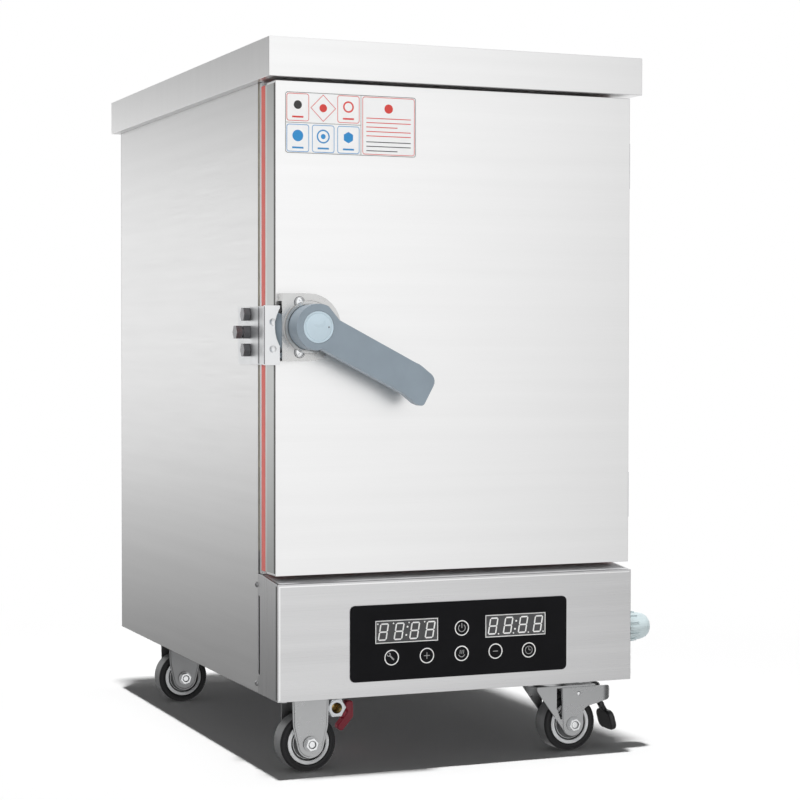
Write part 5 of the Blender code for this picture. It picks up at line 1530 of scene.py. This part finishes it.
@dataclass
class Casters(SubAssembly):
    """Two rigid casters on the left, and two braked swivel casters on the right."""

    edge: float = 0.0006
    fork_inside: float = 0.0210
    crown_in: float = 0.0230
    fork_outside: float = 0.0235
    lip: float = 0.0016
    lip_slope: float = 0.0010
    lip_high: float = 0.0007
    bolt: float = 0.0065
    bolt_high: float = 0.0040
    bolt_in: float = 0.0100
    plate_thick: float = 0.0028
    washer: float = 0.0098
    washer_thick: float = 0.0009
    nut: float = 0.0086
    nut_high: float = 0.0060
    stud: float = 0.0044
    nut_gap: float = 0.0007
    head_high: float = 0.0060
    slot_start: float = -0.0240
    slot_end: float = -0.0160
    slot_low: float = 0.0450
    slot_bend: float = 0.0600
    slot_foot: float = -0.0182
    cover_thick: float = 0.0012
    cover_end: float = 0.0600
    arm_end: float = 0.0600
    arm_drop: float = 0.0205
    arm_round: float = 0.0088
    nose_from: float = 0.0450
    nose_radius: float = 0.0150
    nose_turn: float = 81.0
    nose_steps: int = 9
    cover_foot: float = 0.0150
    rivet: float = 0.0030
    rivet_shift: float = 0.0085
    rivet_drop: float = 0.0112
    top_gap: float = 0.0026
    pin: float = 0.0037
    pin_shift: float = 0.0028
    pin_level: float = 0.0622
    pivot: float = 0.0048
    neck_half: float = 0.0060
    neck_thick: float = 0.0064
    paddle_out: float = 0.0174
    paddle_drop: float = 0.0352
    paddle_long: float = 0.0275
    paddle_lean: float = 15.0
    paddle_half: float = 0.0206
    paddle_round: float = 0.0095
    paddle_thick: float = 0.0085
    cheek_low: float = 0.0182
    cheek_side: float = 0.0248
    cheek_bend: float = 0.0600

    def build(self) -> None:
        """Makes all four casters."""
        for end in ("front", "rear"):
            self.rigid(end)
            self.dress("swivel_plate_" + end, ZINC, self.edge)
            self.swivel(end)
            self.pedal(end)
            for side, body in (("left", "cabinet"), ("right", "swivel_" + end)):
                name = f"{end}_{side}"
                Wheel(body="wheel_" + name, name=name).build()
                self.axle(name, body, self.cover_thick if side == "right" else 0.0)
            self.plate_bolts("rigid_fork_" + end)
            self.plate_bolts("swivel_plate_" + end)

    def rigid(self, end: str) -> None:
        """Makes a fixed fork, whose two cheeks have a raised lip along their edges."""
        node = "rigid_fork_" + end
        y = (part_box(node)[0].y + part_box(node)[1].y) / 2
        low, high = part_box(node)
        plate = slab(rectangle((low.x, low.y), (high.x, high.y), 0.004), Axis.Z, high.z - self.plate_thick, high.z)
        crown = block((low.x + self.crown_in, y - self.fork_outside, high.z - 2.6 * self.plate_thick),
                      (high.x - self.crown_in, y + self.fork_outside, high.z - 1.2 * self.plate_thick))
        shape = merged(plate, crown, *[self.cheek(end, y, side) for side in (-1.0, 1.0)])
        shape.normal_update()
        cheek = max(abs(face.calc_center_median().y - y) for face in shape.faces
                    if abs(face.normal.y) > 0.99 and face.calc_center_median().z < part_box(node)[1].z - 0.02)
        for side in (-1.0, 1.0):
            faces = [face for face in shape.faces if face.normal.y * side > 0.99
                     and abs(face.calc_center_median().y - y - side * cheek) < MERGE * 10]
            bmesh.ops.inset_region(shape, faces=faces, thickness=self.lip, use_even_offset=True)
            bmesh.ops.inset_region(shape, faces=faces, thickness=self.lip_slope, depth=-self.lip_high,
                                   use_even_offset=True)
        # painted shade: the rear fork takes a darker copy of the zinc
        finish = ZINC if end == "front" else SHADED_ZINC
        self.add(node + "_skin", shape, finish, slot_of(node), replaces=(node,), edge=self.edge / 2)

    def cheek(self, end: str, y: float, side: float) -> bmesh.types.BMesh:
        """Full outline of a fixed fork's cheek: nearly upright sides that turn in below and round the axle."""
        low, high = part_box(f"tyre_{end}_left")
        axle, _, middle = (low + high) / 2
        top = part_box("rigid_fork_" + end)[1].z - 1.2 * self.plate_thick
        foot = arc((axle, middle), self.cheek_low, 200, 340, 14)
        corners = [(axle + self.cheek_side - 0.0012, self.cheek_bend, 0.020), (axle + self.cheek_side, top, 0.0),
                   (axle - self.cheek_side, top, 0.0), (axle - self.cheek_side + 0.0012, self.cheek_bend, 0.020)]
        outline = foot + softened([(*foot[-1], 0.0)] + corners + [(*foot[0], 0.0)], 5)[1:-1]
        inner, outer = y + side * self.fork_inside, y + side * self.fork_outside
        return slab(outline, Axis.Y, min(inner, outer), max(inner, outer))

    def swivel(self, end: str) -> None:
        """Makes a turning fork with a slot in each cheek, and the brake's riveted cover plate."""
        node = "swivel_fork_" + end
        low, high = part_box(node)
        tyre_low, tyre_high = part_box(f"tyre_{end}_right")
        axle, _, middle = (tyre_low + tyre_high) / 2
        slot = slab([(axle + self.slot_start, high.z - self.plate_thick), (axle + self.slot_start, self.slot_bend),
                     (axle + self.slot_foot, self.slot_low), (axle + self.slot_end, self.slot_low),
                     (axle + self.slot_end, high.z - self.plate_thick)], Axis.Y, low.y - 0.01, high.y + 0.01)
        top, tip = high.z - self.top_gap, axle + self.cover_end
        y, end_low = (low.y + high.y) / 2, high.z - self.arm_drop
        fork = carved(self.nosed(copied(node), y, axle + self.nose_from), [slot, self.arm_cutter(axle, low, high)])
        self.add(node + "_skin", fork, ZINC, slot_of(node), body="swivel_" + end, replaces=(node,), edge=self.edge)
        foot = self.cover_foot
        corners = [(axle + foot, middle, 0.0), (axle + foot + 0.0005, high.z - 0.0305, 0.010),
                   (tip, end_low, 0.0), (tip, top, 0.0), (axle + self.slot_end, top, 0.0),
                   (axle + self.slot_end, middle, 0.0)]
        outline = arc((axle, middle), foot, 200, 350, 14) + softened(corners)[:-1]
        covers, rivets = [], []
        for side, level in ((-1.0, low.y), (1.0, high.y)):
            cover = slab(outline, Axis.Y, min(level, level + side * self.cover_thick),
                         max(level, level + side * self.cover_thick))
            covers.append(carved(self.nosed(cover, y, axle + self.nose_from), [self.arm_cutter(axle, low, high)]))
            rivets.append(lathe([(0.0, level), (self.rivet, level)]
                                + dome(self.rivet, 0.0012, level + side * self.cover_thick, side), Axis.Y,
                                (axle + self.rivet_shift, high.z - self.rivet_drop), steps=20))
        self.add(node + "_covers", merged(*covers), ZINC, "zinc_steel", body="swivel_" + end, edge=self.edge)
        self.add(node + "_rivets", merged(*rivets), BRIGHT_PLATE, "zinc_steel", body="swivel_" + end)

    def arm_cutter(self, axle: float, low: Vector, high: Vector) -> bmesh.types.BMesh:
        """Makes the cutter that rounds the arm's end as seen from the side.

        Args:
            axle: Place of the axle along the arm.
            low: Low corner of the fork.
            high: High corner of the fork.

        Returns:
            The cutter.
        """
        end_low, arm, top = high.z - self.arm_drop, axle + self.arm_end, high.z - self.top_gap
        rounded = slab(softened([(axle + 0.030, end_low - 0.02, 0.0), (axle + 0.040, end_low - 0.004, 0.0),
                                 (arm + 0.0003, end_low, self.arm_round), (arm + 0.0003, top, self.arm_round),
                                 (axle + 0.030, top, 0.0)]), Axis.Y, low.y - 0.01, high.y + 0.01)
        return carved(block((axle + 0.034, low.y - 0.005, end_low - 0.01),
                            (arm + 0.010, high.y + 0.005, high.z + 0.005)), [rounded])

    def nosed(self, shape: bmesh.types.BMesh, middle: float, start: float) -> bmesh.types.BMesh:
        """Bends a fork's plates inward round an upright line, so that the arm ends in a rounded nose.

        Args:
            shape: Plates of the fork.
            middle: Middle of the fork across.
            start: Place along the arm where the bend starts.

        Returns:
            The bent shape.
        """
        radius = self.nose_radius
        for k in range(self.nose_steps):
            plane = Vector((start + (self.arm_end - self.nose_from) * k / self.nose_steps, 0.0, 0.0))
            bmesh.ops.bisect_plane(shape, geom=list(shape.verts) + list(shape.edges) + list(shape.faces),
                                   plane_co=plane, plane_no=Axis.X.vector)
        for vert in shape.verts:
            reach = vert.co.x - start
            if reach <= 0:
                continue
            side = 1.0 if vert.co.y > middle else -1.0
            level = radius - self.fork_outside + abs(vert.co.y - middle)
            turn = math.radians(self.nose_turn) * reach / (self.arm_end - self.nose_from)
            vert.co.x = start + level * math.sin(turn)
            vert.co.y = middle + side * (self.fork_outside - radius + level * math.cos(turn))
        shape.normal_update()
        return shape

    def pedal(self, end: str) -> None:
        """Makes a brake pedal: a pivot rod, a neck, a rounded paddle, and the pins under the cover plates."""
        node = "brake_pedal_" + end
        joint = next(j for j in frame["joints"] if j["name"] == end + "_brake")
        pivot = Vector(joint["pos_m"])
        half, thick, long = self.paddle_half, self.paddle_thick / 2, self.paddle_long / 2
        centre = pivot + Vector((self.paddle_out, 0.0, -self.paddle_drop))
        paddle = slab(rectangle((centre.y - half, centre.z - long), (centre.y + half, centre.z + long),
                                self.paddle_round), Axis.X, centre.x - thick, centre.x + thick)
        lean = math.radians(self.paddle_lean)
        bmesh.ops.rotate(paddle, cent=centre, matrix=Matrix.Rotation(-lean, 3, "Y"), verts=paddle.verts)
        head = (centre.x - long * 0.8 * math.sin(lean), centre.z + long * 0.8 * math.cos(lean))
        neck = slab(bar((pivot.x, pivot.z), head, self.neck_thick), Axis.Y, pivot.y - self.neck_half,
                    pivot.y + self.neck_half)
        rod = lathe([(0.0, pivot.y - half), (self.pivot, pivot.y - half), (self.pivot, pivot.y + half),
                     (0.0, pivot.y + half)], Axis.Y, (pivot.x, pivot.z), steps=32)
        self.add(node + "_skin", merged(paddle, neck, rod), BLACK_NYLON, slot_of(node), body="brake_" + end,
                 replaces=(node,), edge=0.0028, segments=4, sharp=50.0)
        low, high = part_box("swivel_fork_" + end)
        out = self.cover_thick
        pins = [lathe([(0.0, level - side * 0.003), (self.pin, level - side * 0.003), (self.pin, level + side * out)]
                      + dome(self.pin, 0.0016, level + side * out, side), Axis.Y,
                      (pivot.x - self.pin_shift, self.pin_level), steps=24)
                for level, side in ((low.y, -1.0), (high.y, 1.0))]
        self.add("pedal_pins_" + end, merged(*pins), BLACK_NYLON, "zinc_steel", body="swivel_" + end)

    def axle(self, name: str, body: str, raised: float) -> None:
        """Makes an axle bolt with its washers, its hexagon head and the nut on its studded end.

        Args:
            name: Name of the caster.
            body: Body that it rides on.
            raised: Thickness of the plate under its washers.
        """
        low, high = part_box("axle_bolt_" + name)
        centre = ((low.x + high.x) / 2, (low.z + high.z) / 2)
        front, back = low.y + self.head_high - raised, high.y - self.head_high + raised
        stud = [(0.0, front - self.nut_high), (self.stud - 0.0006, front - self.nut_high),
                (self.stud, front - self.nut_high + 0.0006), (self.stud, back), (0.0, back)]
        shapes, washers = [lathe(stud, Axis.Y, centre, steps=24)], []
        for level, side in ((front, -1.0), (back, 1.0)):
            seat = level + side * self.washer_thick
            washers.append(lathe([(self.stud, level), (self.washer, level), (self.washer, seat), (self.stud, seat)],
                                 Axis.Y, centre, steps=40, ring=True))
            far = seat + side * self.nut_high
            nut = slab(arc(centre, self.nut, 12, 312, 5), Axis.Y, min(seat, far), max(seat, far))
            if side < 0:
                nut = carved(nut, [slab(arc(centre, self.stud + self.nut_gap, 0, 345, 23), Axis.Y, far - 0.002,
                                        seat + 0.002)])
            shapes.append(nut)
        node = "axle_bolt_" + name
        self.add(node + "_skin", merged(*shapes), BRIGHT_PLATE, "zinc_steel", body=body, replaces=(node,),
                 edge=0.0007)
        self.add("axle_washers_" + name, merged(*washers), ZINC, "zinc_steel", body=body, edge=0.0002)

    def plate_bolts(self, node: str) -> None:
        """Makes the four hexagon heads that hold a caster's plate."""
        low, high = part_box(node)
        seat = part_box("base_plate")[0].z - self.plate_thick
        middle = (low + high) / 2
        half_x, half_y = (high.x - low.x) / 2 - self.bolt_in, (high.y - low.y) / 2 - self.bolt_in
        shapes = [slab(arc((middle.x + side * half_x, middle.y + end * half_y), self.bolt, 0, 300, 5), Axis.Z,
                       seat - self.bolt_high, seat) for side in (-1, 1) for end in (-1, 1)]
        self.add(node + "_bolts", merged(*shapes), ZINC, "zinc_steel", edge=0.0005)


@dataclass
class Studio:
    """Floor, backdrop, lamps, the soft surroundings that metal mirrors, and the camera."""

    place: tuple[float, float, float] = (-1.09965, -2.80565, 0.5472)
    azimuth: float = 22.348
    pitch: float = -1.512
    roll: float = 0.086
    lens: float = 93.06
    sensor: float = 36.0
    floor_half: float = 6.0
    fade_start: float = 0.8
    fade_end: float = 1.5
    ambient: float = 0.11
    mirrored: float = 1.115
    round_radius: float = 3.2
    round_middle: float = 0.5
    sunlight: float = 2.95
    sun_angle: float = 3.2
    sun_lean: float = 5.5
    sun_heading: float = 25.0

    def build(self) -> None:
        """Makes the studio."""
        self.camera()
        floor = self.floor()
        self.world()
        self.surroundings()
        self.lamps(floor)

    def camera(self) -> None:
        """Places the camera at the photograph's viewpoint."""
        azimuth, pitch, roll = (math.radians(v) for v in (self.azimuth, self.pitch, self.roll))
        forward = Vector((math.sin(azimuth) * math.cos(pitch), math.cos(azimuth) * math.cos(pitch), math.sin(pitch)))
        right = Vector((math.cos(azimuth), -math.sin(azimuth), 0.0))
        up = right.cross(forward)
        across = right * math.cos(roll) + up * math.sin(roll)
        above = up * math.cos(roll) - right * math.sin(roll)
        data = bpy.data.cameras.new("camera")
        data.lens = self.lens
        data.sensor_width = self.sensor
        camera = bpy.data.objects.new("camera", data)
        bpy.context.scene.collection.objects.link(camera)
        turn = Matrix((across, above, -forward)).transposed().to_4x4()
        camera.matrix_world = Matrix.Translation(self.place) @ turn
        bpy.context.scene.camera = camera

    def staged(self, name: str, shape: bmesh.types.BMesh, finish: bpy.types.Material) -> bpy.types.Object:
        """Object of a shape that belongs to the studio."""
        mesh = bpy.data.meshes.new(name)
        shape.to_mesh(mesh)
        shape.free()
        mesh.materials.append(finish)
        made = bpy.data.objects.new(name, mesh)
        bpy.context.scene.collection.objects.link(made)
        return made

    def floor(self) -> bpy.types.Object:
        """Makes the pale floor, which fades to the white backdrop away from the cabinet."""
        made = bpy.data.materials.new("floor_white")
        made.use_nodes = True
        tree = made.node_tree
        shader = tree.nodes["Principled BSDF"]
        shader.inputs["Base Color"].default_value = (0.94, 0.94, 0.94, 1.0)
        shader.inputs["Roughness"].default_value = 0.9
        shader.inputs["Specular IOR Level"].default_value = 0.0
        glow = tree.nodes.new("ShaderNodeEmission")
        distance = tree.nodes.new("ShaderNodeVectorMath")
        distance.operation = "LENGTH"
        tree.links.new(tree.nodes.new("ShaderNodeTexCoord").outputs["Object"], distance.inputs[0])
        ramp = tree.nodes.new("ShaderNodeMapRange")
        ramp.interpolation_type = "SMOOTHSTEP"
        ramp.inputs["From Min"].default_value = self.fade_start
        ramp.inputs["From Max"].default_value = self.fade_end
        tree.links.new(distance.outputs["Value"], ramp.inputs["Value"])
        mix = tree.nodes.new("ShaderNodeMixShader")
        tree.links.new(ramp.outputs["Result"], mix.inputs["Fac"])
        tree.links.new(shader.outputs["BSDF"], mix.inputs[1])
        tree.links.new(glow.outputs["Emission"], mix.inputs[2])
        tree.links.new(mix.outputs["Shader"], tree.nodes["Material Output"].inputs["Surface"])
        shape = bmesh.new()
        bmesh.ops.create_grid(shape, x_segments=1, y_segments=1, size=self.floor_half)
        floor = self.staged("floor", shape, made)
        floor.visible_glossy = False
        return floor

    def world(self) -> None:
        """Makes the backdrop: white to the camera and in reflections, and dimmer as room light."""
        world = bpy.data.worlds.new("studio")
        bpy.context.scene.world = world
        world.use_nodes = True
        tree = world.node_tree
        output = tree.nodes["World Output"]
        plain = tree.nodes["Background"]
        plain.inputs["Color"].default_value = (1.0, 1.0, 1.0, 1.0)
        plain.inputs["Strength"].default_value = self.ambient
        white = tree.nodes.new("ShaderNodeBackground")
        white.inputs["Color"].default_value = (1.0, 1.0, 1.0, 1.0)
        white.inputs["Strength"].default_value = 1.0
        rays = tree.nodes.new("ShaderNodeLightPath")
        seen = rays.outputs["Is Camera Ray"]
        for key in ("Is Glossy Ray", "Is Transmission Ray"):
            either = tree.nodes.new("ShaderNodeMath")
            either.operation = "MAXIMUM"
            tree.links.new(seen, either.inputs[0])
            tree.links.new(rays.outputs[key], either.inputs[1])
            seen = either.outputs["Value"]
        mix = tree.nodes.new("ShaderNodeMixShader")
        tree.links.new(seen, mix.inputs["Fac"])
        tree.links.new(plain.outputs["Background"], mix.inputs[1])
        tree.links.new(white.outputs["Background"], mix.inputs[2])
        tree.links.new(mix.outputs["Shader"], output.inputs["Surface"])

    def surroundings(self) -> None:
        """Makes the room that metal mirrors: a white round wall with grey bands, lit evenly."""
        made = bpy.data.materials.new("round_wall")
        made.use_nodes = True
        tree = made.node_tree
        tree.nodes.remove(tree.nodes["Principled BSDF"])
        split = tree.nodes.new("ShaderNodeSeparateXYZ")
        tree.links.new(tree.nodes.new("ShaderNodeTexCoord").outputs["Object"], split.inputs[0])
        turn = tree.nodes.new("ShaderNodeMath")
        turn.operation = "ARCTAN2"
        tree.links.new(split.outputs["X"], turn.inputs[0])
        tree.links.new(split.outputs["Y"], turn.inputs[1])
        about = self.ranged(tree, turn.outputs["Value"], -math.pi, math.pi)
        low = self.round_middle - self.round_radius
        rise = self.ranged(tree, split.outputs["Z"], low, self.round_middle + self.round_radius)

        def share(z: float) -> float:
            """Place on the ramps of a height above the wall's middle."""
            return 0.5 + z / (2 * self.round_radius)

        around = self.ramp(tree, about, ((0.0, 1.0), (0.05, 1.0), (0.12, 0.60), (0.18, 0.14), (0.29, 0.16), (0.36, 1.0),
                                         (0.62, 1.0), (0.69, 0.60), (0.76, 0.16), (0.84, 0.20), (0.905, 0.64),
                                         (0.935, 0.94), (0.965, 1.0)))
        front = self.ramp(tree, rise, ((share(-2.0), 0.74), (share(-1.0), 0.85), (share(-0.5), 0.86), (share(-0.1), 0.98),
                                       (share(0.2), 1.0)))
        side = self.ramp(tree, rise, ((share(-1.2), 0.15), (share(-0.88), 0.16), (share(-0.55), 0.45),
                                      (share(-0.26), 0.84), (share(-0.05), 0.98), (share(0.48), 0.98),
                                      (share(0.60), 0.84), (share(0.72), 0.60), (share(0.88), 0.28), (share(1.5), 0.28),
                                      (share(2.2), 1.0)))
        which = self.ramp(tree, about, ((0.30, 0.0), (0.38, 1.0), (0.52, 1.0), (0.60, 0.0)))
        blend = tree.nodes.new("ShaderNodeMix")
        tree.links.new(which, blend.inputs["Factor"])
        tree.links.new(front, blend.inputs["A"])
        tree.links.new(side, blend.inputs["B"])
        strength = tree.nodes.new("ShaderNodeMath")
        strength.operation = "MULTIPLY"
        tree.links.new(around, strength.inputs[0])
        tree.links.new(blend.outputs["Result"], strength.inputs[1])
        glow = tree.nodes.new("ShaderNodeEmission")
        gain = tree.nodes.new("ShaderNodeMath")
        gain.operation = "MULTIPLY"
        gain.inputs[1].default_value = self.mirrored
        tree.links.new(strength.outputs["Value"], gain.inputs[0])
        tree.links.new(gain.outputs["Value"], glow.inputs["Strength"])
        tree.links.new(glow.outputs["Emission"], tree.nodes["Material Output"].inputs["Surface"])
        shape = bmesh.new()
        bmesh.ops.create_uvsphere(shape, u_segments=64, v_segments=32, radius=self.round_radius,
                                  matrix=Matrix.Translation((0.0, 0.0, self.round_middle)))
        wall = self.staged("round_wall", shape, made)
        wall.visible_camera = wall.visible_diffuse = wall.visible_shadow = wall.visible_transmission = False

    def ranged(self, tree: bpy.types.NodeTree, value: bpy.types.NodeSocket, low: float, high: float
               ) -> bpy.types.NodeSocket:
        """Value brought from a range to one from nought to one."""
        node = tree.nodes.new("ShaderNodeMapRange")
        node.inputs["From Min"].default_value = low
        node.inputs["From Max"].default_value = high
        tree.links.new(value, node.inputs["Value"])
        return node.outputs["Result"]

    def ramp(self, tree: bpy.types.NodeTree, value: bpy.types.NodeSocket, stops: Sequence[Pair]
             ) -> bpy.types.NodeSocket:
        """Grey level that follows stops of place and level."""
        node = tree.nodes.new("ShaderNodeValToRGB")
        elements = node.color_ramp.elements
        while len(elements) < len(stops):
            elements.new(0.5)
        for element, (place, level) in zip(elements, stops):
            element.position = place
            element.color = (level, level, level, 1.0)
        tree.links.new(value, node.inputs["Fac"])
        return node.outputs["Color"]

    def lamps(self, floor: bpy.types.Object) -> None:
        """Places the light from above and the two soft front lamps, which leave the floor alone."""
        above = bpy.data.lights.new("lamp_above", "SUN")
        above.energy = self.sunlight
        above.angle = math.radians(self.sun_angle)
        sun = bpy.data.objects.new("lamp_above", above)
        sun.visible_glossy = False
        sun.rotation_euler = Euler((math.radians(self.sun_lean), 0.0, math.radians(-self.sun_heading)))
        bpy.context.scene.collection.objects.link(sun)
        spared = bpy.data.collections.new("spared_by_front_lamps")
        spared.objects.link(floor)
        spared.collection_objects[0].light_linking.link_state = "EXCLUDE"
        target = Vector((0.0, 0.0, 0.45))
        for name, place, size, power in (("lamp_front_left", (-2.4, -2.6, 2.2), 1.8, 62.0),
                                         ("lamp_front_right", (2.2, -2.8, 1.8), 1.8, 24.0)):
            lamp = self.lamp(name, place, size, power, target)
            lamp.light_linking.receiver_collection = spared

    def lamp(self, name: str, place: Sequence[float], size: float, power: float, target: Vector
             ) -> bpy.types.Object:
        """Places a square lamp that faces a target and isn't mirrored.

        Args:
            name: Name of the lamp.
            place: Where it stands.
            size: Its side.
            power: Its power in watts.
            target: What it faces.

        Returns:
            The lamp.
        """
        data = bpy.data.lights.new(name, "AREA")
        data.shape = "SQUARE"
        data.size = size
        data.energy = power
        lamp = bpy.data.objects.new(name, data)
        bpy.context.scene.collection.objects.link(lamp)
        lamp.location = place
        lamp.rotation_euler = (target - Vector(place)).to_track_quat("-Z", "Y").to_euler()
        lamp.visible_glossy = False
        return lamp


def main() -> None:
    """Builds the studio and every sub-assembly, in order."""
    logging.basicConfig(level=logging.INFO, format="%(message)s")
    bpy.context.scene.view_settings.view_transform = "Standard"
    Studio().build()
    for part in (Casing(), Chamber(), Door(), LabelSheet(), Latch(), Keypad(), ControlBox(), DrainLine(), Casters()):
        LOG.info("building %s", type(part).__name__)
        part.build()


if __name__ == "__main__":
    main()
